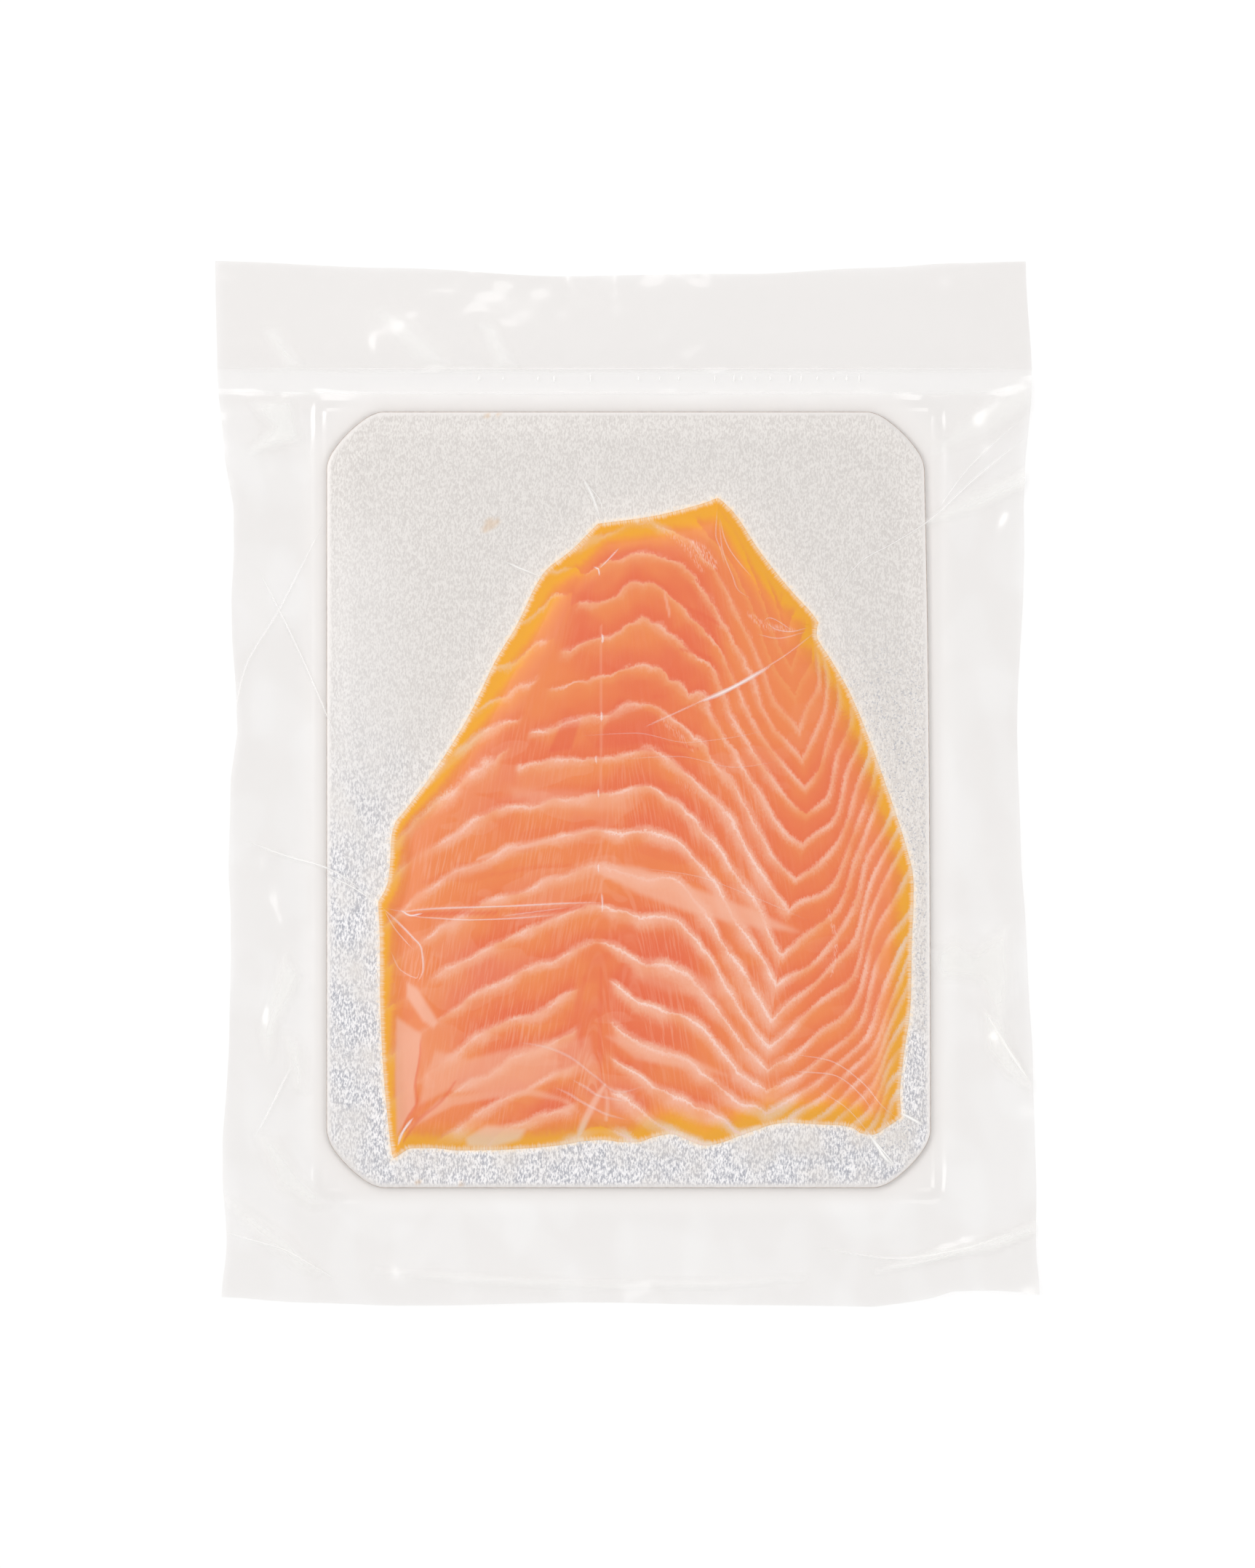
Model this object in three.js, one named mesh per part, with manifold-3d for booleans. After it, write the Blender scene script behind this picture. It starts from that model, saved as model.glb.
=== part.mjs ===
// A vacuum pack of sliced smoked salmon, lying flat with the fish side up.
//
// Lengths are in millimetres, +Z is up and +Y runs towards the pouch's flap. The
// origin is under the middle of the pouch, on the surface that the pack lies on.
// The pouch is one closed body with an open pocket in its upper side. The foil
// board lies in the pocket, and the stack of slices lies on the board.

import * as THREE from 'three';
import { mergeVertices } from 'three/addons/utils/BufferGeometryUtils.js';
import Module from 'manifold-3d';

const wasm = await Module();
wasm.setup();

// ---------------------------------------------------------------- dimensions

// A 200 x 250 pouch. Its edges run in a few millimetres where the vacuum pulls.
const pouch = { left: -99.3, right: 99.3, top: 126, bottom: -126 };

// Each edge of the pouch as [place along the edge, place of the edge].
const pouchEdges = {
  left: [[-126, -97.8], [-112, -96.5], [-91, -97.7], [-63, -96.1], [-35, -95.4], [-21, -96.1],
    [0, -95.6], [14, -93.9], [42, -95.6], [63, -94.6], [84, -97.5], [98, -98.8], [126, -99.3]],
  right: [[-126, 99.3], [-112, 98.4], [-98, 98.6], [-70, 97.7], [-42, 96.3], [-14, 94.6],
    [14, 93.9], [56, 95.6], [70, 95.4], [98, 97.4], [126, 96]],
  top: [[-99.3, 126], [-56, 124.3], [-14, 122.4], [28, 122.9], [60, 124.3], [80, 125.5], [99.3, 126]],
  bottom: [[-99.3, -123.6], [-77, -125], [-56, -125.7], [-14, -125], [28, -125.5], [60, -126],
    [70, -124.5], [80, -122], [91, -122], [99.3, -123.1]],
};

const filmPair = 0.6; // the two films of a margin, lying on each other
const filmFloor = 0.5; // the film under the board
const sealBand = { low: 94.3, high: 100.1, pressed: 0.2, ramp: 0.4 }; // the weld across the top

// A margin lifts in two crossed waves, from none near the board to full further out.
const ripple = {
  from: 5, to: 24, mean: 1.1,
  swell: { height: 0.8, alongX: 9.5, alongY: 17, shift: 0 },
  cross: { height: 0.5, alongX: -23, alongY: 8.5, shift: 1.3 },
};

// The film stands this high over the board, flat past its edge, and then slopes off.
const shoulder = { height: 0.15, flat: 1, reach: 5 };

// Foil-laminated card, a little wider at the bottom, with die-cut corners.
const board = {
  left: -72.5, rightTop: 71.4, rightBottom: 73.1, top: 89.7, bottom: -97.3,
  thickness: 1.25, corner: 13.5, cornerPull: 0.32, clearance: 0.3,
};

// The outline of the top slice, as smooth runs that meet in its sharp corners.
const apex = [21.8, 69];
const outlineRuns = [
  [[26.1, 64.8], [31.8, 56.1], [38.8, 47.3], [43.9, 41.7], [46, 38.9]],
  [[45.6, 35.4], [49.1, 29.7], [54, 21], [59.3, 7.8], [64.7, -7.5], [67.9, -18], [68.9, -25],
    [68.4, -39], [68.1, -53.6], [66.5, -65.4], [65.6, -74.1], [66, -80.3]],
  [[58.4, -84.6], [53.2, -82.5], [45.3, -82], [36.5, -81.7], [27.7, -84.5], [18.9, -87.1],
    [10.2, -84.3], [1.4, -86.4], [-7.4, -85.7], [-20.5, -87.5], [-38.9, -88.3], [-51.2, -87.6],
    [-56.5, -90.6]],
  [[-57.7, -81.1], [-58.9, -67.1], [-59.5, -53.1], [-59.6, -37.3], [-60, -28.5]],
  [[-57.5, -22.9], [-56.5, -11], [-53, -5.7], [-46, 3.8], [-38.1, 16.6], [-31.8, 29.7],
    [-26.5, 38.5], [-20.5, 50.4], [-13.7, 56.1], [-7.2, 62.7]],
  [[6, 64.5], [17.2, 67.3], apex],
];
const pointsPerSpan = 2; // outline points between two named ones

// The flakes lie between lines that run from the left edge up to the middle seam,
// over a crest, down to a valley on the right and steeply up to the right edge.
// Each row names a line by its number from the top, and its bends from left to right.
const flakeLines = [
  [-5, [[-63, 41], [-39, 69], [-19, 82], [-6, 90], [4, 94], [15, 93], [25, 88], [32, 75],
    [38, 55], [43, 60], [46, 66], [48, 73], [54, 88]]],
  [0, [[-63, 12], [-39, 40], [-19, 54], [-6, 60], [4, 63], [15, 57.5], [25, 45], [32, 29.5],
    [41, 13.5], [45, 23], [46, 31], [47, 40], [51, 56]]],
  [6, [[-63, -19], [-39, -1], [-19.5, 6], [-6, 7], [3, 9.5], [15, 2], [25.5, -8.5], [32, -21],
    [38.5, -31.5], [49.5, -21.5], [56, -8], [60, 6.5], [75, 40]]],
  [10, [[-63, -56], [-39, -41.5], [-19.5, -33], [-6, -28.5], [3, -31.5], [15, -35], [23.5, -47],
    [29.5, -57], [34, -62.5], [48, -51.5], [57, -35.5], [60.5, -25.5], [75, 0.5]]],
  [13, [[-63, -91], [-39, -72.5], [-20.5, -62.5], [-7, -56], [2.5, -61], [15, -67], [22.5, -72.5],
    [28.5, -77], [33.5, -78.5], [46, -72.5], [54, -64.5], [58.5, -55], [75, -19.5]]],
  [18, [[-63, -132], [-39, -113], [-20.5, -103.5], [-7, -98.5], [2.5, -103], [15, -109], [22.5, -113],
    [28.5, -115], [33.5, -116], [46, -109], [54.5, -100.5], [59, -91.5], [75, -51]]],
];
const lastLine = 21;
const flakeRows = [0, 0.3, 0.7]; // where a flake has points between its two lines
const flakeColumns = 3; // columns between two bends of a line

// The stack of slices: thin at its edge, domed, with a groove along each line.
const slices = {
  edge: 1.8, full: 6.1, edgeReach: 7, groove: 0.45,
  swell: { height: 0.45, alongX: 19, alongY: 27, shift: 0.6 },
};
const seamFold = { x: -6.3, top: -12, bottom: -70, depth: 0.7, width: 4 };

const marginCell = 5.5; // the mesh size of the pouch
const cornerSteps = 6; // straight steps round a corner of the board
const cutTolerance = 0.04; // points that a cut leaves closer than this are merged
const cutMargin = 1; // how far a body reaches past what cuts it
const samePoint = 1e-4;

// ------------------------------------------------------------------- helpers

const smoothStep = (low, high, value) => THREE.MathUtils.smoothstep(value, low, high);

// The value at one place on a smooth curve through [place, value] points.
function alongPoints(points, place) {
  const found = points.findLastIndex(([start]) => start <= place);
  const span = THREE.MathUtils.clamp(found, 0, points.length - 2);
  const [before, after] = [points[span], points[span + 1]];
  const part = THREE.MathUtils.clamp((place - before[0]) / (after[0] - before[0]), 0, 1);
  return THREE.MathUtils.lerp(before[1], after[1], smoothStep(0, 1, part));
}

// Places from start to end, in equal steps no longer than the given one.
function steps(start, end, longest) {
  const count = Math.ceil((end - start) / longest);
  return Array.from({ length: count + 1 }, (_, i) => THREE.MathUtils.lerp(start, end, i / count));
}

// A closed body between two height fields. points[row][column] has x and y, which
// grow with column and row, and z for the upper face and base for the lower one.
function slab(points) {
  const rows = points.length;
  const columns = points[0].length;
  const position = [];
  for (const row of points) {
    for (const { x, y, z, base } of row) {
      position.push(x, y, z, x, y, base);
    }
  }
  const upper = (row, column) => 2 * (row * columns + column);
  const index = [];
  const quad = (a, b, c, d) => index.push(a, b, c, a, c, d);
  for (let row = 0; row < rows - 1; row++) {
    for (let column = 0; column < columns - 1; column++) {
      const corners = [
        upper(row, column), upper(row, column + 1), upper(row + 1, column + 1), upper(row + 1, column),
      ];
      quad(...corners);
      quad(...corners.map((corner) => corner + 1).reverse());
    }
  }
  const rim = [];
  for (let column = 0; column < columns - 1; column++) {
    rim.push(upper(0, column));
  }
  for (let row = 0; row < rows - 1; row++) {
    rim.push(upper(row, columns - 1));
  }
  for (let column = columns - 1; column > 0; column--) {
    rim.push(upper(rows - 1, column));
  }
  for (let row = rows - 1; row > 0; row--) {
    rim.push(upper(row, 0));
  }
  rim.forEach((corner, i) => {
    const next = rim[(i + 1) % rim.length];
    quad(corner, corner + 1, next + 1, next);
  });
  const geometry = new THREE.BufferGeometry();
  geometry.setAttribute('position', new THREE.Float32BufferAttribute(position, 3));
  geometry.setIndex(index);
  return geometry;
}

// A straight block over a flat outline, from one height to another.
function block(shape, low, high) {
  const geometry = new THREE.ExtrudeGeometry(shape, {
    depth: high - low, bevelEnabled: false, curveSegments: cornerSteps,
  });
  return geometry.translate(0, 0, low);
}

function toSolid(geometry) {
  const bare = geometry.clone();
  bare.deleteAttribute('normal');
  bare.deleteAttribute('uv');
  const merged = mergeVertices(bare, samePoint);
  return new wasm.Manifold(new wasm.Mesh({
    numProp: 3,
    vertProperties: merged.attributes.position.array,
    triVerts: Uint32Array.from(merged.index.array),
  }));
}

// The solid's surface, without the points that a cut leaves closer than the tolerance.
function toGeometry(solid) {
  const { vertProperties, triVerts } = solid.asOriginal().simplify(cutTolerance).getMesh();
  const geometry = new THREE.BufferGeometry();
  geometry.setAttribute('position', new THREE.BufferAttribute(vertProperties, 3));
  geometry.setIndex(new THREE.BufferAttribute(triVerts, 1));
  return geometry;
}

function namedMesh(name, geometry, material, z = 0) {
  const mesh = new THREE.Mesh(geometry, material);
  mesh.name = name;
  mesh.position.z = z;
  return mesh;
}

// --------------------------------------------------------------------- board

// The board's outline, grown by a margin. The die rounds each corner flatly.
function boardShape(grown) {
  const { corner, cornerPull } = board;
  const corners = [
    new THREE.Vector2(board.left - grown, board.bottom - grown),
    new THREE.Vector2(board.rightBottom + grown, board.bottom - grown),
    new THREE.Vector2(board.rightTop + grown, board.top + grown),
    new THREE.Vector2(board.left - grown, board.top + grown),
  ];
  const towards = (from, to, distance) => to.clone().sub(from).setLength(distance).add(from);
  const shape = new THREE.Shape();
  corners.forEach((here, i) => {
    const before = corners[(i + 3) % 4];
    const after = corners[(i + 1) % 4];
    const start = towards(here, before, corner);
    const pullStart = towards(here, before, corner * (1 - cornerPull));
    const pullEnd = towards(here, after, corner * (1 - cornerPull));
    const end = towards(here, after, corner);
    if (i === 0) shape.moveTo(start.x, start.y);
    else shape.lineTo(start.x, start.y);
    shape.bezierCurveTo(pullStart.x, pullStart.y, pullEnd.x, pullEnd.y, end.x, end.y);
  });
  shape.closePath();
  return shape;
}

// --------------------------------------------------------------------- pouch

// How far a point lies outside the board.
function beyondBoard(x, y) {
  const aside = Math.max(board.left - x, x - board.rightBottom, 0);
  const along = Math.max(board.bottom - y, y - board.top, 0);
  return Math.hypot(aside, along);
}

// A margin lifts off the surface in soft ripples, more so further from the board.
function marginLift(x, y) {
  const free = smoothStep(ripple.from, ripple.to, beyondBoard(x, y));
  const [swell, cross] = [ripple.swell, ripple.cross].map(
    (wave) => wave.height * Math.sin(x / wave.alongX + y / wave.alongY + wave.shift),
  );
  return free * Math.max(ripple.mean + swell + cross, 0);
}

// A grid that is square round the board and runs out to the pouch's wavy edges.
function pouchPoint(gridX, gridY) {
  const [boardX, edgeX, nominalX] = gridX < 0
    ? [board.left, alongPoints(pouchEdges.left, gridY), pouch.left]
    : [board.rightBottom, alongPoints(pouchEdges.right, gridY), pouch.right];
  const [boardY, edgeY, nominalY] = gridY < 0
    ? [board.bottom, alongPoints(pouchEdges.bottom, gridX), pouch.bottom]
    : [board.top, alongPoints(pouchEdges.top, gridX), pouch.top];
  const outX = THREE.MathUtils.clamp((gridX - boardX) / (nominalX - boardX), 0, 1);
  const outY = THREE.MathUtils.clamp((gridY - boardY) / (nominalY - boardY), 0, 1);
  const x = gridX + outX * (edgeX - nominalX);
  const y = gridY + outY * (edgeY - nominalY);

  const base = marginLift(x, y);
  const overBoard = filmFloor + board.thickness + shoulder.height;
  const climb = 1 - smoothStep(shoulder.flat, shoulder.reach, beyondBoard(x, y));
  const inSeal = gridY >= sealBand.low && gridY <= sealBand.high;
  const flat = filmPair - (inSeal ? sealBand.pressed : 0);
  return { x, y, z: base + THREE.MathUtils.lerp(flat, overBoard, climb), base };
}

function filmBag() {
  const { flat } = shoulder;
  const columns = [
    ...steps(pouch.left, board.left - shoulder.reach, marginCell),
    board.left - flat,
    ...steps(board.left + flat, board.rightTop - flat, marginCell),
    board.rightBottom + flat,
    ...steps(board.rightBottom + shoulder.reach, pouch.right, marginCell),
  ];
  const rows = [
    ...steps(pouch.bottom, board.bottom - shoulder.reach, marginCell),
    board.bottom - flat,
    ...steps(board.bottom + flat, board.top - flat, 2 * marginCell),
    board.top + flat,
    sealBand.low - sealBand.ramp,
    sealBand.low,
    sealBand.high,
    sealBand.high + sealBand.ramp,
    ...steps(sealBand.high + marginCell, pouch.top, marginCell),
  ];
  const sheet = slab(rows.map((y) => columns.map((x) => pouchPoint(x, y))));
  const pocket = block(boardShape(board.clearance), filmFloor, filmFloor + 2 * board.thickness);
  return toGeometry(toSolid(sheet).subtract(toSolid(pocket)));
}

// -------------------------------------------------------------------- salmon

function sliceShape() {
  const shape = new THREE.Shape();
  shape.moveTo(...apex);
  for (const run of outlineRuns) {
    shape.splineThru(run.map(([x, y]) => new THREE.Vector2(x, y)));
  }
  return shape;
}

const sliceOutline = sliceShape().getPoints(pointsPerSpan);

// How far a point lies inside the outline of the slices, 0 outside.
function insideSlices(x, y) {
  let nearest = Infinity;
  let inside = false;
  sliceOutline.forEach((end, i) => {
    const start = sliceOutline[(i + sliceOutline.length - 1) % sliceOutline.length];
    const span = new THREE.Vector2().subVectors(end, start);
    const reach = new THREE.Vector2(x - start.x, y - start.y);
    const part = THREE.MathUtils.clamp(reach.dot(span) / Math.max(span.lengthSq(), Number.EPSILON), 0, 1);
    nearest = Math.min(nearest, reach.addScaledVector(span, -part).length());
    if ((start.y > y) !== (end.y > y)) {
      const crossing = start.x + (y - start.y) / (end.y - start.y) * (end.x - start.x);
      if (x < crossing) inside = !inside;
    }
  });
  return inside ? nearest : 0;
}

// One bend of any flake line, between the named lines or past the last of them.
function flakeBend(line, bend) {
  const above = flakeLines.findLastIndex(([number]) => number <= line);
  const upper = Math.min(Math.max(above, 0), flakeLines.length - 2);
  const [startNumber, start] = flakeLines[upper];
  const [endNumber, end] = flakeLines[upper + 1];
  const part = (line - startNumber) / (endNumber - startNumber);
  return start[bend].map((value, axis) => value + part * (end[bend][axis] - value));
}

// The upper face: domed, thin at its edge, grooved at each line, folded at the seam.
function sliceHeight(x, y, line) {
  const depth = insideSlices(x, y);
  const dome = 1 - Math.exp(-depth / slices.edgeReach);
  const { height, alongX, alongY, shift } = slices.swell;
  const swell = height * Math.sin(x / alongX + shift) * Math.cos(y / alongY);
  const groove = Number.isInteger(line) ? slices.groove : 0;
  const along = 1 - smoothStep(seamFold.bottom, seamFold.top, y);
  const fold = seamFold.depth * along * Math.exp(-(((x - seamFold.x) / seamFold.width) ** 2));
  const full = slices.full - slices.edge + swell - groove - fold;
  return slices.edge + dome * full;
}

function salmon() {
  const bends = flakeLines[0][1].length;
  const points = [];
  for (let flake = lastLine; flake >= flakeLines[0][0]; flake--) {
    for (const part of [...flakeRows].reverse()) {
      const line = flake + part;
      const row = [];
      for (let column = 0; column <= (bends - 1) * flakeColumns; column++) {
        const bend = Math.min(Math.floor(column / flakeColumns), bends - 2);
        const between = column / flakeColumns - bend;
        const start = flakeBend(line, bend);
        const end = flakeBend(line, bend + 1);
        const [x, y] = start.map((value, axis) => THREE.MathUtils.lerp(value, end[axis], between));
        row.push({ x, y, z: sliceHeight(x, y, line), base: -cutMargin });
      }
      points.push(row);
    }
  }
  const outline = new THREE.Shape(sliceOutline);
  const cutter = block(outline, 0, slices.full + slices.swell.height + cutMargin);
  return toGeometry(toSolid(slab(points)).intersect(toSolid(cutter)));
}

// --------------------------------------------------------------------- model

const film = new THREE.MeshStandardMaterial({
  color: 0xf1efed, roughness: 0.18, metalness: 0, transparent: true, opacity: 0.35, flatShading: true,
});
const foil = new THREE.MeshStandardMaterial({
  color: 0xcfccc8, roughness: 0.4, metalness: 0.6, flatShading: true,
});
const fish = new THREE.MeshStandardMaterial({
  color: 0xf28a62, roughness: 0.35, metalness: 0, flatShading: true,
});

const group = new THREE.Group();
group.add(
  namedMesh('film_bag', filmBag(), film),
  namedMesh('foil_board', block(boardShape(0), 0, board.thickness), foil, filmFloor),
  namedMesh('salmon', salmon(), fish, filmFloor + board.thickness),
);

export default group;
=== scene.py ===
"""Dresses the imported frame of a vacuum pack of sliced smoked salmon.

The pack lies flat: a clear pouch, a foil-laminated card in it and a stack of slices
on the card. Shapes are worked out in millimetres in the frame's own axes (+Z up, +Y
towards the pouch's open flap) and turned to metres where a mesh is made. Outlines
come from the frame's solids.
"""

import logging
import math
from dataclasses import dataclass, field
from enum import Enum
from typing import Any, ClassVar, Iterable, Sequence

import bpy
import numpy as np
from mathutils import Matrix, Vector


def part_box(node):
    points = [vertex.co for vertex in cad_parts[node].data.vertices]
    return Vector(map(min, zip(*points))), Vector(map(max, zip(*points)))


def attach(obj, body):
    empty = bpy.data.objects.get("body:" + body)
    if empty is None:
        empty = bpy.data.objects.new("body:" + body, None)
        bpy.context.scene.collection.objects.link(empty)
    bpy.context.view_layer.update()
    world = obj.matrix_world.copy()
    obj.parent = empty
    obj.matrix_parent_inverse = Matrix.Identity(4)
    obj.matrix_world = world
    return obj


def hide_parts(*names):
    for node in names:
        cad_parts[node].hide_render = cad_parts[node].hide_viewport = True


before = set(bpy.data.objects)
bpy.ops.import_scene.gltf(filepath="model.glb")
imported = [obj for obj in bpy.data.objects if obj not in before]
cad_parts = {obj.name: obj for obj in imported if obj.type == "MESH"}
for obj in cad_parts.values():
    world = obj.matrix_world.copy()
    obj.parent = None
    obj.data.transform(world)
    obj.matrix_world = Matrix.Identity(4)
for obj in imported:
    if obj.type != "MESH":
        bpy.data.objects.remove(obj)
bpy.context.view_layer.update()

MM = 0.001  # metres in a millimetre
BODY = "root"  # the one body of a pack with no joints

Point = tuple[float, float]
log = logging.getLogger("salmon_pack")


# ------------------------------------------------------------------ numbers


def smooth_step(low: float, high: float, value: np.ndarray) -> np.ndarray:
    """Rises smoothly from 0 at low to 1 at high, or falls where low is above high."""
    part = np.clip((value - low) / (high - low), 0.0, 1.0)
    return part * part * (3.0 - 2.0 * part)


def smooth_through(knots: Sequence[float], values: Any, wanted: np.ndarray) -> np.ndarray:
    """Follows a smooth curve through given values that doesn't overshoot them.

    Args:
        knots: rising places of the given values.
        values: the values, with one entry of the first axis for each knot.
        wanted: the places to work out.

    Returns:
        The values there, with the wanted places along the first axis.
    """
    knots = np.asarray(knots, float)
    values = np.asarray(values, float)
    spread = (-1,) + (1,) * (values.ndim - 1)
    step = np.diff(knots).reshape(spread)
    rise = np.diff(values, axis=0) / step
    slope = np.zeros_like(values)
    slope[0], slope[-1] = rise[0], rise[-1]
    before, after = 2 * step[1:] + step[:-1], step[1:] + 2 * step[:-1]
    with np.errstate(divide="ignore", invalid="ignore"):
        mean = (before + after) / (before / rise[:-1] + after / rise[1:])
    slope[1:-1] = np.where(rise[:-1] * rise[1:] > 0, mean, 0.0)
    span = np.clip(np.searchsorted(knots, wanted, side="right") - 1, 0, len(knots) - 2)
    width = step[span]
    part = (np.asarray(wanted, float) - knots[span]).reshape(spread) / width
    start, end = values[span], values[span + 1]
    bend = part * (1 - part)
    return (
        start + (end - start) * part * part * (3 - 2 * part)
        + width * bend * ((1 - part) * slope[span] - part * slope[span + 1])
    )


def resample(points: Sequence[Point], step: float) -> np.ndarray:
    """Spaces points evenly along a smooth line through a few named ones.

    Args:
        points: the named points, in millimetres.
        step: the longest distance between two of the new points.

    Returns:
        The new points, as an array of x and y.
    """
    named = np.asarray(points, float)
    length = np.concatenate([[0], np.cumsum(np.linalg.norm(np.diff(named, axis=0), axis=1))])
    count = max(int(math.ceil(length[-1] / step)), 4)
    return smooth_through(length, named, np.linspace(0, length[-1], count + 1))


def line_distance(x: np.ndarray, y: np.ndarray, line: np.ndarray) -> tuple[np.ndarray, np.ndarray]:
    """Measures how far places lie from an open line.

    Args:
        x: places across, in millimetres.
        y: places along.
        line: the line's points.

    Returns:
        The distance, and the share of the line passed at the nearest point.
    """
    nearest = np.full(x.shape, np.inf)
    passed = np.zeros(x.shape)
    for i, (start, end) in enumerate(zip(line[:-1], line[1:])):
        span = end - start
        part = ((x - start[0]) * span[0] + (y - start[1]) * span[1]) / max(span @ span, 1e-9)
        part = np.clip(part, 0, 1)
        away = np.hypot(x - start[0] - part * span[0], y - start[1] - part * span[1])
        closer = away < nearest
        nearest = np.where(closer, away, nearest)
        passed = np.where(closer, (i + part) / (len(line) - 1), passed)
    return nearest, passed


def signed_depth(x: np.ndarray, y: np.ndarray, loop: np.ndarray) -> np.ndarray:
    """Measures how far places lie inside a closed outline, negative outside it."""
    closed = np.vstack([loop, loop[:1]])
    away, _ = line_distance(x, y, closed)
    inside = np.zeros(x.shape, bool)
    for start, end in zip(closed[:-1], closed[1:]):
        if start[1] == end[1]:
            continue
        crossing = start[0] + (y - start[1]) / (end[1] - start[1]) * (end[0] - start[0])
        inside ^= ((start[1] > y) != (end[1] > y)) & (x < crossing)
    return np.where(inside, away, -away)


def soft_noise(x: np.ndarray, y: np.ndarray, size: float, seed: int) -> np.ndarray:
    """Makes smooth noise from -1 to 1 out of a few seeded waves about size mm long."""
    draw = np.random.default_rng(seed)
    total = np.zeros(np.shape(x))
    waves = 9
    for _ in range(waves):
        angle, phase = draw.uniform(0, 2 * math.pi, 2)
        pace = 2 * math.pi / (size * draw.uniform(0.6, 1.7))
        total = total + np.sin(pace * (x * math.cos(angle) + y * math.sin(angle)) + phase)
    return total / math.sqrt(waves)


# ------------------------------------------------------------------- frame


def node_outline(node: str) -> np.ndarray:
    """Reads a solid's outline from the faces of its underside.

    Args:
        node: the frame's node.

    Returns:
        The outline's points from above, anticlockwise, in millimetres.
    """
    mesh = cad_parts[node].data
    places = np.array([v.co for v in mesh.vertices]) / MM
    key = [tuple(row) for row in np.round(places, 3)]
    after: dict[tuple, tuple] = {}
    edges: set[tuple] = set()
    for face in mesh.polygons:
        if face.normal.z < -0.5:
            corners = [key[i] for i in face.vertices]
            edges |= set(zip(corners, corners[1:] + corners[:1]))
    for start, end in edges:
        if (end, start) not in edges:
            after[end] = start
    loops = []
    while after:
        here = next(iter(after))
        loop = []
        while here in after:
            loop.append(here)
            here = after.pop(here)
        loops.append(loop)
    return np.array(max(loops, key=len))[:, :2]


def rounded(loop: np.ndarray, step: float, sharp_deg: float) -> np.ndarray:
    """Smooths a faceted outline but keeps its sharp corners.

    Args:
        loop: the outline's points.
        step: the distance between the new points.
        sharp_deg: the turn from which a corner stays sharp.

    Returns:
        The new outline.
    """
    turn_in = loop - np.roll(loop, 1, axis=0)
    turn_out = np.roll(loop, -1, axis=0) - loop
    angle = np.arctan2(turn_out[:, 1], turn_out[:, 0]) - np.arctan2(turn_in[:, 1], turn_in[:, 0])
    angle = np.abs((angle + math.pi) % (2 * math.pi) - math.pi)
    sharp = np.flatnonzero(angle > math.radians(sharp_deg))
    if len(sharp) == 0:
        sharp = np.array([0])
    runs = []
    for first, last in zip(sharp, np.append(sharp[1:], sharp[0] + len(loop))):
        run = loop[np.arange(first, last + 1) % len(loop)]
        runs.append(resample(run, step)[:-1])
    return np.vstack(runs)


class DepthMap:
    """How far any place lies inside an outline, kept on a fine square raster."""

    def __init__(self, loop: np.ndarray, beyond: float, cell: float = 0.5) -> None:
        """Measures the raster.

        Args:
            loop: the outline, in millimetres.
            beyond: how far the raster runs past it.
            cell: the raster's step.
        """
        self.loop = loop
        self.cell = cell
        self.low = loop.min(axis=0) - beyond
        high = loop.max(axis=0) + beyond
        columns, rows = np.ceil((high - self.low) / cell).astype(int) + 1
        across = self.low[0] + cell * np.arange(columns)
        along = self.low[1] + cell * np.arange(rows)
        self.depth = signed_depth(*np.meshgrid(across, along), loop)

    def at(self, x: np.ndarray, y: np.ndarray) -> np.ndarray:
        """Gives the depth at places in millimetres, far outside where the raster ends."""
        rows, columns = self.depth.shape
        across = np.clip((np.asarray(x) - self.low[0]) / self.cell, 0, columns - 1.001)
        along = np.clip((np.asarray(y) - self.low[1]) / self.cell, 0, rows - 1.001)
        column, row = across.astype(int), along.astype(int)
        right, up = across - column, along - row
        lower = self.depth[row, column] * (1 - right) + self.depth[row, column + 1] * right
        upper = self.depth[row + 1, column] * (1 - right) + self.depth[row + 1, column + 1] * right
        return lower * (1 - up) + upper * up

    def inward(self, x: np.ndarray, y: np.ndarray) -> tuple[np.ndarray, np.ndarray]:
        """Gives the unit direction in which the depth grows."""
        reach = self.cell
        gx = self.at(x + reach, y) - self.at(x - reach, y)
        gy = self.at(x, y + reach) - self.at(x, y - reach)
        size = np.maximum(np.hypot(gx, gy), 1e-6)
        return gx / size, gy / size

    def moved_to(self, x: np.ndarray, y: np.ndarray, depth: float) -> tuple[np.ndarray, np.ndarray]:
        """Slides places along the depth's slope until they lie that deep."""
        for _ in range(3):
            way_x, way_y = self.inward(x, y)
            short = depth - self.at(x, y)
            x, y = x + way_x * short, y + way_y * short
        return x, y


# ------------------------------------------------------------------- meshes


@dataclass
class Shape:
    """Points in millimetres and the faces between them."""

    points: np.ndarray
    faces: list[tuple[int, ...]]
    finish_of_face: list[int] = field(default_factory=list)


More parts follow.
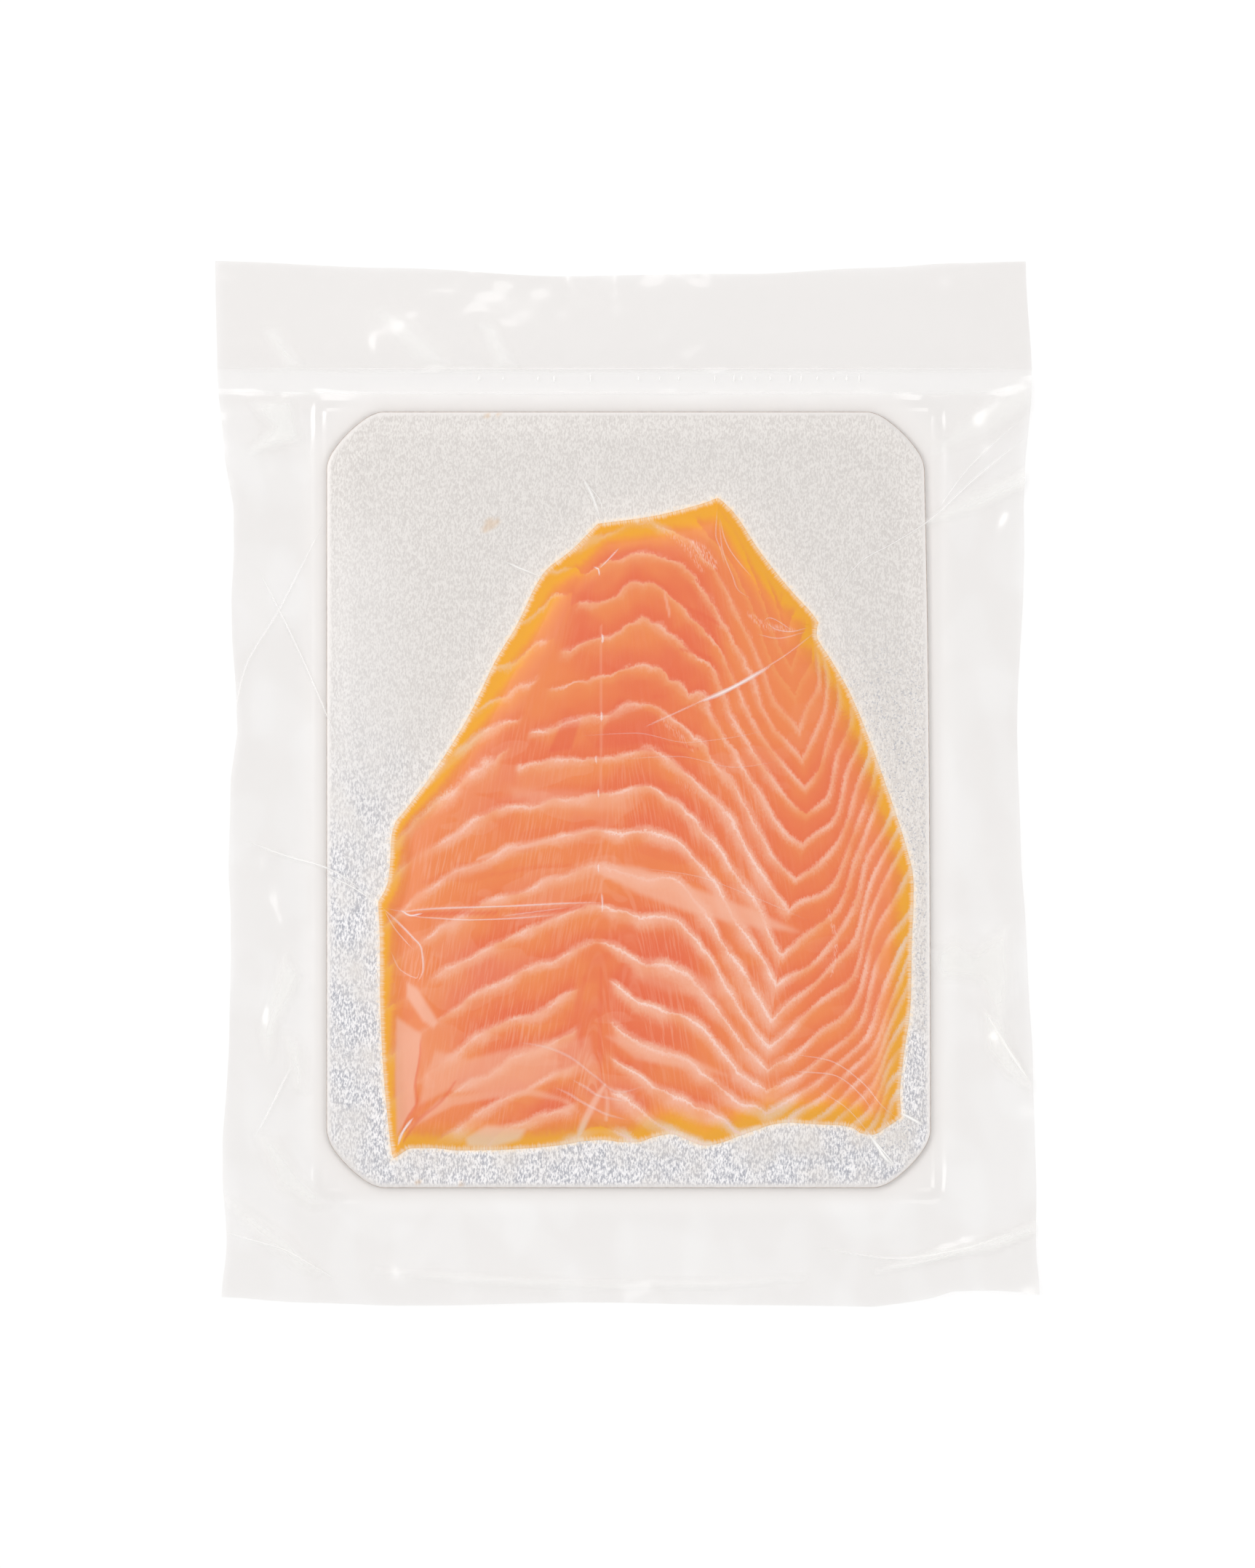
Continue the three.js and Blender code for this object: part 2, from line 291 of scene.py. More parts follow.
def make_piece(
    name: str,
    shape: Shape,
    materials: Sequence[bpy.types.Material],
    values: dict[str, np.ndarray] | None = None,
    sharp_deg: float = 55.0,
) -> bpy.types.Object:
    """Makes an object of a shape and lets it ride on the pack's body.

    Args:
        name: the piece's name.
        shape: its points and faces.
        materials: its finishes, by face index.
        values: named numbers at its points, which its materials read.
        sharp_deg: the angle between faces from which an edge looks sharp.

    Returns:
        The object.
    """
    mesh = bpy.data.meshes.new(name)
    mesh.from_pydata((shape.points * MM).tolist(), [], shape.faces)
    mesh.validate()
    for title, numbers in (values or {}).items():
        attribute = mesh.attributes.new(title, "FLOAT", "POINT")
        attribute.data.foreach_set("value", np.asarray(numbers, np.float32))
    for material in materials:
        mesh.materials.append(material)
    if shape.finish_of_face:
        mesh.polygons.foreach_set("material_index", shape.finish_of_face)
    mesh.polygons.foreach_set("use_smooth", [True] * len(mesh.polygons))
    mesh.set_sharp_from_angle(angle=math.radians(sharp_deg))
    mesh.update()
    piece = bpy.data.objects.new(name, mesh)
    bpy.context.scene.collection.objects.link(piece)
    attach(piece, BODY)
    log.info("%s: %d points, %d faces", name, len(mesh.vertices), len(mesh.polygons))
    return piece


def grid_faces(rows: int, columns: int, first: int = 0, flipped: bool = False) -> list[tuple[int, ...]]:
    """Lists the four-sided faces of a grid whose points run row by row.

    Args:
        rows: rows of points.
        columns: points in a row.
        first: the number of the first point.
        flipped: whether the faces look the other way.

    Returns:
        The faces.
    """
    corner = (first + np.arange(rows - 1)[:, None] * columns + np.arange(columns - 1)).ravel()
    quads = np.stack([corner, corner + 1, corner + columns + 1, corner + columns], axis=1)
    if flipped:
        quads = quads[:, ::-1]
    return [tuple(quad) for quad in quads.tolist()]


def closed_sheet(x: np.ndarray, y: np.ndarray, upper: np.ndarray, lower: np.ndarray) -> Shape:
    """Closes a grid of points into a thin body with an upper and a lower face.

    Args:
        x: the points' places across, by row and column.
        y: their places along.
        upper: the height of the upper face.
        lower: the height of the lower face.

    Returns:
        The closed shape, with the upper points first.
    """
    rows, columns = x.shape
    count = rows * columns
    top = np.stack([x.ravel(), y.ravel(), upper.ravel()], axis=1)
    bottom = np.stack([x.ravel(), y.ravel(), lower.ravel()], axis=1)
    faces = grid_faces(rows, columns) + grid_faces(rows, columns, count, flipped=True)
    number = np.arange(count).reshape(rows, columns)
    rim = np.concatenate([number[0, :-1], number[:-1, -1], number[-1, :0:-1], number[:0:-1, 0]])
    for here, after in zip(rim.tolist(), np.roll(rim, -1).tolist()):
        faces.append((here, here + count, after + count, after))
    return Shape(np.vstack([top, bottom]), faces)


@dataclass
class CutGrid:
    """A grid of points cut along an outline, with its rim set on the outline."""

    RIM_ROOM: ClassVar[float] = 0.15  # how much deeper than the rim all other points lie
    RIM_REACH: ClassVar[float] = 1.6
    RIM_ROUNDS: ClassVar[int] = 16

    x: np.ndarray
    y: np.ndarray
    faces: np.ndarray
    rim_edges: np.ndarray
    kept: np.ndarray

    @classmethod
    def cut(cls, x: np.ndarray, y: np.ndarray, outline: DepthMap, inset: float) -> "CutGrid":
        """Keeps the cells inside an outline.

        Args:
            x: places across, by row and column.
            y: places along.
            outline: the outline's depth map.
            inset: how far inside it the rim lies.

        Returns:
            The cut grid.
        """
        rows, columns = x.shape
        quads = np.array(grid_faces(rows, columns))
        flat_x, flat_y = x.ravel(), y.ravel()
        middle = outline.at(flat_x[quads].mean(axis=1), flat_y[quads].mean(axis=1))
        quads = quads[middle > inset]
        starts, ends = quads.ravel(), np.roll(quads, -1, axis=1).ravel()
        count = len(flat_x)
        lone = ~np.isin(starts * count + ends, ends * count + starts)
        edges = np.stack([starts[lone], ends[lone]], axis=1)
        used, position = np.unique(quads, return_inverse=True)
        renumber = np.zeros(count, int)
        renumber[used] = np.arange(len(used))
        grid = cls(
            flat_x[used], flat_y[used], position.reshape(quads.shape), renumber[edges], used
        )
        rim = np.unique(grid.rim_edges)
        shallow = np.setdiff1d(np.flatnonzero(outline.at(grid.x, grid.y) < inset + cls.RIM_ROOM), rim)
        for some, depth in ((rim, inset), (shallow, inset + cls.RIM_ROOM)):
            grid.x[some], grid.y[some] = outline.moved_to(grid.x[some], grid.y[some], depth)
        grid._evened(outline, inset)
        return grid

    def _evened(self, outline: DepthMap, inset: float) -> None:
        """Spreads the rim's points along the outline and lets the rows beside it follow."""
        count = len(self.x)
        starts, ends = self.rim_edges.T
        before, after = np.zeros(count, int), np.zeros(count, int)
        after[starts], before[ends] = ends, starts
        rim = np.unique(starts)
        beside = np.flatnonzero(outline.at(self.x, self.y) < inset + self.RIM_REACH)
        beside = np.setdiff1d(beside, rim)
        corners = self.faces.ravel()
        others = np.roll(self.faces, -1, axis=1).ravel()
        some = np.isin(corners, beside)
        corners, others = corners[some], others[some]
        share = np.bincount(corners, minlength=count)[beside]
        for _ in range(self.RIM_ROUNDS):
            middle_x = 0.5 * self.x[rim] + 0.25 * (self.x[before[rim]] + self.x[after[rim]])
            middle_y = 0.5 * self.y[rim] + 0.25 * (self.y[before[rim]] + self.y[after[rim]])
            self.x[rim], self.y[rim] = outline.moved_to(middle_x, middle_y, inset)
            for place in (self.x, self.y):
                mean = np.bincount(corners, place[others], count)[beside] / share
                place[beside] = 0.5 * (place[beside] + mean)

    def body(self, top: np.ndarray, rings: Iterable[tuple[float, float]], outline: DepthMap) -> Shape:
        """Closes the cut grid into a body with a wall and a flat underside.

        Args:
            top: the height of each point.
            rings: the wall's rings from the top down, as depth inside the outline and
                height. The last one bounds the underside.
            outline: the outline's depth map.

        Returns:
            The closed shape, whose wall points follow the grid's own.
        """
        points = [np.stack([self.x, self.y, top], axis=1)]
        faces = [tuple(face) for face in self.faces.tolist()]
        rim = np.unique(self.rim_edges)
        above = {int(point): int(point) for point in rim}
        total = len(self.x)
        for depth, height in rings:
            ring_x, ring_y = outline.moved_to(self.x[rim], self.y[rim], depth)
            points.append(np.stack([ring_x, ring_y, np.full(len(rim), height)], axis=1))
            below = {int(point): total + i for i, point in enumerate(rim)}
            for start, end in self.rim_edges.tolist():
                faces.append((above[end], above[start], below[start], below[end]))
            above = below
            total += len(rim)
        after = {start: end for start, end in self.rim_edges.tolist()}
        while after:
            here = next(iter(after))
            loop = []
            while here in after:
                loop.append(above[here])
                here = after.pop(here)
            faces.append(tuple(reversed(loop)))
        return Shape(np.vstack(points), faces)


# ---------------------------------------------------------------- materials


def linear_colour(code: str) -> tuple[float, float, float, float]:
    """Turns an sRGB hex code such as #F28A62 to linear red, green, blue and alpha."""
    parts = [int(code[i : i + 2], 16) / 255 for i in (1, 3, 5)]
    linear = [p / 12.92 if p <= 0.04045 else ((p + 0.055) / 1.055) ** 2.4 for p in parts]
    return (linear[0], linear[1], linear[2], 1.0)


def add_node(
    tree: bpy.types.NodeTree,
    kind: str,
    inputs: dict[Any, Any] | None = None,
    output: Any = 0,
    **settings: Any,
) -> bpy.types.NodeSocket:
    """Adds a node with its settings and links.

    Args:
        tree: the material's node tree.
        kind: the node's type, without its ShaderNode prefix.
        inputs: a value or another node's output socket for each named input.
        output: the name or number of the output that is wanted.
        **settings: properties of the node. stops is a colour ramp's list of places
            and hex colours.

    Returns:
        The wanted output socket.
    """
    node = tree.nodes.new("ShaderNode" + kind)
    stops = settings.pop("stops", ())
    for title, value in settings.items():
        setattr(node, title, value)
    for i, (place, code) in enumerate(stops):
        ramp = node.color_ramp.elements
        stop = ramp[i] if i < len(ramp) else ramp.new(place)
        stop.position, stop.color = place, linear_colour(code)
    for title, value in (inputs or {}).items():
        socket = node.inputs[title]
        if isinstance(value, bpy.types.NodeSocket):
            tree.links.new(value, socket)
        else:
            socket.default_value = value
    return node.outputs[output] if node.outputs else None


def new_material(name: str) -> tuple[bpy.types.Material, bpy.types.NodeTree]:
    """Starts a material with an empty node tree."""
    material = bpy.data.materials.new(name)
    material.use_nodes = True
    material.node_tree.nodes.clear()
    return material, material.node_tree


@dataclass(frozen=True)
class ClearFilm:
    """Blown nylon and polyethylene laminate: clear, glossy, a touch milky.

    Each face lets nearly all light straight through and mirrors a little of it, so
    that two films on each other read as a pale veil with soft highlights. Where it is
    stretched it turns milky, by the value named milk, or thin and clearer, by the one
    named thin. In the loose margins both values also paint highlights where folds
    catch the light. Where it is drawn down on the moist flesh it takes the flesh's fine
    grain and loses its gloss, by the one named matt.
    """

    name: str = "clear_laminate_film"
    white_through_pack: str = "#F1EEEC"
    faces_in_pack: int = 8
    gloss_tint: str = "#FFFFFF"
    milk_tint: str = "#FFFEFC"
    ior: float = 1.5
    gloss_flat: float = 0.026
    gloss_edge: float = 0.12
    gloss_left: float = 0.12
    roughness: float = 0.12
    ripple_mm: float = 6.0
    ripple_height_mm: float = 0.03

    def build(self) -> bpy.types.Material:
        """Makes the material."""
        material, tree = new_material(self.name)
        place = add_node(tree, "TexCoord", output="Object")
        waves = add_node(tree, "TexNoise", {
            "Vector": place, "Scale": 1 / (self.ripple_mm * MM), "Detail": 2.0, "Roughness": 0.5,
        })
        relief = add_node(tree, "Bump", {
            "Height": waves, "Distance": self.ripple_height_mm * MM, "Strength": 1.0,
        })
        tint = [part ** (1 / self.faces_in_pack) for part in linear_colour(self.white_through_pack)]
        thin = add_node(tree, "Attribute", output="Fac", attribute_name="thin")
        tint = add_node(tree, "Mix", {
            "Factor": thin, "A": tint, "B": linear_colour(self.gloss_tint),
        }, output="Result", data_type="RGBA")
        through = add_node(tree, "BsdfTransparent", {"Color": tint})
        stretched = add_node(tree, "BsdfDiffuse", {"Color": linear_colour(self.milk_tint)})
        milk = add_node(tree, "Attribute", output="Fac", attribute_name="milk")
        veil = add_node(tree, "MixShader", {0: milk, 1: through, 2: stretched})
        gloss = add_node(tree, "BsdfGlossy", {
            "Color": linear_colour(self.gloss_tint), "Roughness": self.roughness, "Normal": relief,
        })
        angle = add_node(tree, "Fresnel", {"IOR": self.ior, "Normal": relief})
        share = add_node(tree, "MapRange", {
            "Value": angle, "From Min": 0.04, "From Max": 0.6, "To Min": self.gloss_flat,
            "To Max": self.gloss_edge,
        })
        matt = add_node(tree, "Attribute", output="Fac", attribute_name="matt")
        kept = add_node(tree, "MapRange", {"Value": matt, "To Min": 1.0, "To Max": self.gloss_left})
        share = add_node(tree, "Math", {0: share, 1: kept}, operation="MULTIPLY")
        surface = add_node(tree, "MixShader", {0: share, 1: veil, 2: gloss})
        add_node(tree, "OutputMaterial", {"Surface": surface})
        return material


@dataclass(frozen=True)
class EmbossedFoil:
    """Aluminium foil laminated on card and embossed: satin silver with a linen grain.

    The film clings to it lower down and at the right, where the grain shows hard, with
    painted highlights on its ridges and painted shade in its hollows and pits, and lies
    more loosely over the upper part, which looks matt and warm, with fainter painted
    shade in the hollows of its weave. A painted highlight lightens the left side. The
    die flattens the grain along the rim. Beside the slices their frayed edge stains
    the foil cream and yellow, painted lighter as a glow over the shade there.
    """

    name: str = "embossed_aluminium_foil"
    loose: str = "#E8E5E2"
    loose_hollow_shade: str = "#D5D1CE"
    bright: str = "#F8F8FA"
    hollow_shade: str = "#AFB1BA"
    pressed: str = "#E3E0DE"
    stain: str = "#D9B68C"
    cream: str = "#FFF1DE"
    oily_glow: str = "#FFDDA4"
    grain_mm: float = 0.37  # the real grain is about 0.3 mm, drawn a little coarser to show
    grain_lean: tuple[float, float, float] = (1.0, 0.42, 1.0)
    linen_mm: float = 0.4
    fray_mm: float = 0.8
    fray_reach_mm: float = 1.2
    cloud_mm: float = 9.0
    pit_mm: float = 0.5
    relief_mm: float = 0.07
    metallic: float = 0.25
    roughness: float = 0.42

    def build(self) -> bpy.types.Material:
        """Makes the material."""
        material, tree = new_material(self.name)
        place = add_node(tree, "TexCoord", output="Object")
        read = {
            title: add_node(tree, "Attribute", output="Fac", attribute_name=title)
            for title in FoilCard.VALUES
        }
        leaning = add_node(tree, "Mapping", {
            "Vector": place, "Rotation": (0.0, 0.0, math.radians(-16)), "Scale": self.grain_lean,
        })
        threads = add_node(tree, "Mapping", {"Vector": place, "Scale": (1.0, 0.55, 1.0)})
        noises = {
            "grain": (leaning, self.grain_mm, 2.0),
            "linen": (threads, self.linen_mm, 1.0),
            "cloud": (place, self.cloud_mm, 2.0),
            "dots": (place, self.pit_mm, 1.0),
            "fray": (place, self.fray_mm, 3.0),
        }
        noise = {
            title: add_node(tree, "TexNoise", {
                "Vector": where, "Scale": 1 / (size * MM), "Detail": detail, "Roughness": 0.55,
            })
            for title, (where, size, detail) in noises.items()
        }
        weave = add_node(tree, "Mix", {
            "Factor": 0.4, "A": noise["grain"], "B": noise["linen"],
        }, data_type="FLOAT")
        uneven = add_node(tree, "MapRange", {
            "Value": noise["fray"], "From Min": 0.3, "From Max": 0.7, "To Min": -self.fray_reach_mm / 2,
            "To Max": self.fray_reach_mm / 2,
        })
        away = add_node(tree, "Math", {0: read["away"], 1: uneven}, operation="ADD")
        shares = {
            # Partly painted glow: the slices' frayed oily edge stains the foil, in tints made light enough to
            # cancel the shade beside the slices.
            "cream": (away, 1.2, -0.1, 0.6),
            "oily_glow": (away, 0.5, -0.3, 0.3),
            "crisp": (noise["grain"], 0.38, 0.6, 1.0),
            "soft": (weave, 0.42, 0.58, 1.0),
            "cling": (noise["cloud"], 0.25, 0.6, read["cling"]),
            "pits": (noise["dots"], 0.6, 0.66, read["speckle"]),
        }
        share = {
            title: add_node(tree, "MapRange", {
                "Value": value, "From Min": low, "From Max": high, "To Max": top,
            })
            for title, (value, low, high, top) in shares.items()
        }
        # Painted light on the grain: the ridges take a bright highlight, the hollows and pits a blue-grey
        # shade.
        crisp = add_node(tree, "Mix", {
            "Factor": share["crisp"], "A": linear_colour(self.hollow_shade), "B": linear_colour(self.bright),
        }, output="Result", data_type="RGBA")
        # The loose weave's hollows take a fainter painted shade.
        colour = add_node(tree, "Mix", {
            "Factor": share["soft"], "A": linear_colour(self.loose_hollow_shade), "B": linear_colour(self.loose),
        }, output="Result", data_type="RGBA")
        layers = (
            # Painted highlight: this first layer lightens the left side as if a lamp shone on it.
            (read["painted_light_left"], linear_colour(self.bright)), (share["cling"], crisp),
            (share["pits"], linear_colour(self.hollow_shade)), (read["pressed"], linear_colour(self.pressed)),
            (read["stain"], linear_colour(self.stain)), (share["cream"], linear_colour(self.cream)),
            (share["oily_glow"], linear_colour(self.oily_glow)),
        )
        for covered, tint in layers:
            colour = add_node(tree, "Mix", {
                "Factor": covered, "A": colour, "B": tint,
            }, output="Result", data_type="RGBA")
        relief = add_node(tree, "Bump", {
            "Height": weave, "Distance": self.relief_mm * MM, "Strength": 0.7,
        })
        surface = add_node(tree, "BsdfPrincipled", {
            "Base Color": colour, "Metallic": self.metallic, "Roughness": self.roughness,
            "Normal": relief,
        })
        add_node(tree, "OutputMaterial", {"Surface": surface})
        return material


@dataclass(frozen=True)
class RawCard:
    """Unbleached pulp card, die cut: a matt, fibrous grey-brown edge."""

    name: str = "die_cut_card"
    pale: str = "#D8C3B0"
    dark: str = "#A88D7C"
    fibre_mm: float = 1.4
    roughness: float = 0.85

    def build(self) -> bpy.types.Material:
        """Makes the material."""
        material, tree = new_material(self.name)
        place = add_node(tree, "TexCoord", output="Object")
        fibres = add_node(tree, "TexNoise", {
            "Vector": place, "Scale": 1 / (self.fibre_mm * MM), "Detail": 4.0,
        })
        colour = add_node(tree, "ValToRGB", {
            "Fac": fibres,
        }, stops=((0.35, self.dark), (0.6, self.pale)))
        relief = add_node(tree, "Bump", {"Height": fibres, "Distance": 0.05 * MM})
        surface = add_node(tree, "BsdfPrincipled", {
            "Base Color": colour, "Roughness": self.roughness, "Normal": relief,
        })
        add_node(tree, "OutputMaterial", {"Surface": surface})
        return material


@dataclass(frozen=True)
class SmokedFlesh:
    """Cold-smoked salmon, sliced: moist coral muscle between soft pink lines of fat.

    Below each line the flake glows orange and deepens to coral just above the next
    one. Smoke and oil colour the outer few millimetres yellow, and the cut edge frays
    to a cream fringe. Fine muscle fibres cross the flakes. Where the film clings, the
    flesh looks wet and deep; where a film of air lies under it, a pale haze is painted
    on, which stands in for the light that the air gap reflects.
    """

    name: str = "cold_smoked_salmon"
    orange: str = "#EB8850"
    coral: str = "#E7764C"
    deep: str = "#E56A47"
    glow: str = "#EC965C"
    fat: str = "#F1B49B"
    core: str = "#F7D0C2"
    edge_fat: str = "#F0D2B2"
    yellow: str = "#F8AF34"
    amber: str = "#F49B45"
    fringe: str = "#FFF0DC"
    haze: str = "#F2B398"
    wet: str = "#E26245"
    fray_mm: float = 0.5
    fray_reach_mm: float = 0.45
    fibre_mm: float = 0.5
    fibre_long_mm: float = 8.0
    tuft_mm: float = 0.26
    tuft_long_mm: float = 1.2
    hair_mm: float = 0.28
    hair_long_mm: float = 2.4
    hair_reach_mm: float = 3.2
    blotch_mm: float = 15.0
    cling_mm: float = 13.0
    roughness: float = 0.5
    ior: float = 1.34

    def build(self) -> bpy.types.Material:
        """Makes the material."""
        material, tree = new_material(self.name)
        read = {
            title: add_node(tree, "Attribute", output="Fac", attribute_name=title)
            for title in SliceStack.VALUES
        }
        place = add_node(tree, "TexCoord", output="Object")
        down = add_node(tree, "SeparateXYZ", {0: place}, output="Y")
        down_mm = add_node(tree, "Math", {0: down, 1: 1 / MM}, operation="MULTIPLY")

        # Threads of a width and length in millimetres, then noise of one size all ways.
        strands = {
            "fibres": (read["fibre"], self.fibre_mm, down_mm, self.fibre_long_mm),
            "tufts": (read["fibre"], self.tuft_mm, down_mm, self.tuft_long_mm),
            "hairs": (read["run"], self.hair_mm, read["rim"], self.hair_long_mm),
        }
        noise = {}
        for title, (across, width, along, length) in strands.items():
            lying = add_node(tree, "CombineXYZ", {"X": across, "Y": along})
            scaled = add_node(tree, "Mapping", {"Vector": lying, "Scale": (1 / width, 1 / length, 1.0)})
            noise[title] = add_node(tree, "TexNoise", {"Vector": scaled, "Scale": 1.0, "Detail": 2.0})
        flat = add_node(tree, "Mapping", {"Vector": place, "Scale": (0.45, 1.0, 1.0)})
        for title, where, size in (
            ("blotch", place, self.blotch_mm), ("fray", place, self.fray_mm), ("cling", flat, self.cling_mm),
        ):
            noise[title] = add_node(tree, "TexNoise", {
                "Vector": where, "Scale": 1 / (size * MM), "Detail": 2.5,
            })

        # Place across the flake: the share passed, and the distances to both lines.
        frayed = add_node(tree, "Math", {0: noise["fray"], 1: noise["tufts"]}, operation="ADD")
        uneven = add_node(tree, "MapRange", {
            "Value": frayed, "From Min": 0.6, "From Max": 1.4, "To Min": -self.fray_reach_mm,
            "To Max": self.fray_reach_mm,
        })
        ragged = add_node(tree, "Math", {0: uneven, 1: read["pitch"]}, operation="DIVIDE")
        passed = add_node(tree, "Math", {0: read["flake"], 1: ragged}, operation="ADD")
        share = add_node(tree, "Math", {0: passed}, operation="FRACT")
        below = add_node(tree, "Math", {0: share, 1: read["pitch"]}, operation="MULTIPLY")
        above = add_node(tree, "Math", {0: read["pitch"], 1: below}, operation="SUBTRACT")

        # Distance from the rim, teased out into hairs.
        teased = add_node(tree, "MapRange", {
            "Value": noise["hairs"], "From Min": 0.3, "From Max": 0.7, "To Min": -self.hair_reach_mm / 2,
            "To Max": self.hair_reach_mm / 2,
        })
        hairy = add_node(tree, "Math", {0: teased, 1: 0.25, 2: read["rim"]}, operation="MULTIPLY_ADD")
        banded = add_node(tree, "Math", {0: hairy, 1: read["band"]}, operation="DIVIDE")
        inside = add_node(tree, "Math", {0: share, 1: 0.8, 2: banded}, operation="MULTIPLY_ADD")
        sided = add_node(tree, "Math", {0: read["width"], 1: 0.42}, operation="MULTIPLY")

        # Shares of each tint: the value, where it starts and ends, and how far it goes.
        ramps = {
            "tone": (noise["blotch"], 0.36, 0.64, read["coral"]),
            "glow": (share, 0.45, 0.0, read["lined"]),
            "depth": (share, 0.35, 0.95, read["deepens"]),
            "streaks": (noise["fibres"], 0.46, 0.64, read["threads"]),
            "cling": (noise["cling"], 0.575, 0.59, read["cling"]),
            # Painted sheen: a pale haze where air lies under the film, for the light that the air gap
            # reflects.
            "air": (noise["cling"], 0.44, 0.425, read["cling"]),
            "amber": (inside, 3.8, 1.4, 0.85),
            "yellow": (inside, 2.4, 1.25, 0.97),
            "under": (below, read["width"], 0.0, read["fat"]),
            "over": (above, sided, 0.0, read["fat"]),
            "core": (below, 0.9, 0.15, read["core"]),
            "edge": (read["rim"], 8.0, 1.5, 1.0),
            "fuzz": (noise["tufts"], 0.45, 0.62, read["fuzz"]),
            "fringe": (hairy, 1.3, -0.3, 0.9),
        }
        ramp = {
            title: add_node(tree, "MapRange", {
                "Value": value, "From Min": start, "From Max": end, "To Max": top,
            }, interpolation_type="SMOOTHSTEP")
            for title, (value, start, end, top) in ramps.items()
        }
        line = add_node(tree, "Math", {0: ramp["under"], 1: ramp["over"]}, operation="MAXIMUM")
        line = add_node(tree, "Math", {0: line, 1: read["gleam"]}, operation="MAXIMUM")
        fat = add_node(tree, "Mix", {
            "Factor": ramp["edge"], "A": linear_colour(self.fat), "B": linear_colour(self.edge_fat),
        }, output="Result", data_type="RGBA")
        layers = (
            (ramp["tone"], linear_colour(self.coral)), (ramp["glow"], linear_colour(self.glow)),
            (ramp["depth"], linear_colour(self.deep)), (ramp["streaks"], linear_colour(self.haze)),
            (ramp["cling"], linear_colour(self.wet)), (ramp["air"], linear_colour(self.haze)),
            (read["wet"], linear_colour(self.wet)), (ramp["amber"], linear_colour(self.amber)),
            (ramp["yellow"], linear_colour(self.yellow)), (line, fat),
            (ramp["core"], linear_colour(self.core)), (ramp["fuzz"], linear_colour(self.core)),
            # Painted sheen of the air gaps under the film, drawn by patches.
            (read["haze"], linear_colour(self.haze)),
            (read["shade"], linear_colour(self.deep)), (ramp["fringe"], linear_colour(self.fringe)),
        )
        colour = linear_colour(self.orange)
        for covered, tint in layers:
            colour = add_node(tree, "Mix", {
                "Factor": covered, "A": colour, "B": tint,
            }, output="Result", data_type="RGBA")
        relief = add_node(tree, "Bump", {
            "Height": noise["fibres"], "Distance": 0.04 * MM, "Strength": 0.4,
        })
        surface = add_node(tree, "BsdfPrincipled", {
            "Base Color": colour, "Roughness": self.roughness, "IOR": self.ior, "Normal": relief,
        })
        add_node(tree, "OutputMaterial", {"Surface": surface})
        return material


# ------------------------------------------------------------------- salmon


class Mark(Enum):
    """What a stroke or patch changes where it lies."""

    GLEAM = "gleam"
    SHADE = "shade"
    AIR_SHEEN = "haze"
    WET = "wet"
    FUZZ = "fuzz"
    PLAIN = "plain"
    CORAL = "coral"


@dataclass(frozen=True)
class Stroke:
    """A line drawn on a surface, with its width, its strength and its relief."""

    points: tuple[Point, ...]
    width: float
    strength: float = 1.0
    height: float = 0.0
    mark: Mark = Mark.GLEAM


@dataclass(frozen=True)
class Patch:
    """A closed patch on a surface, with a soft or crisp edge."""

    corners: tuple[Point, ...]
    strength: float
    soft: float
    mark: Mark = Mark.AIR_SHEEN


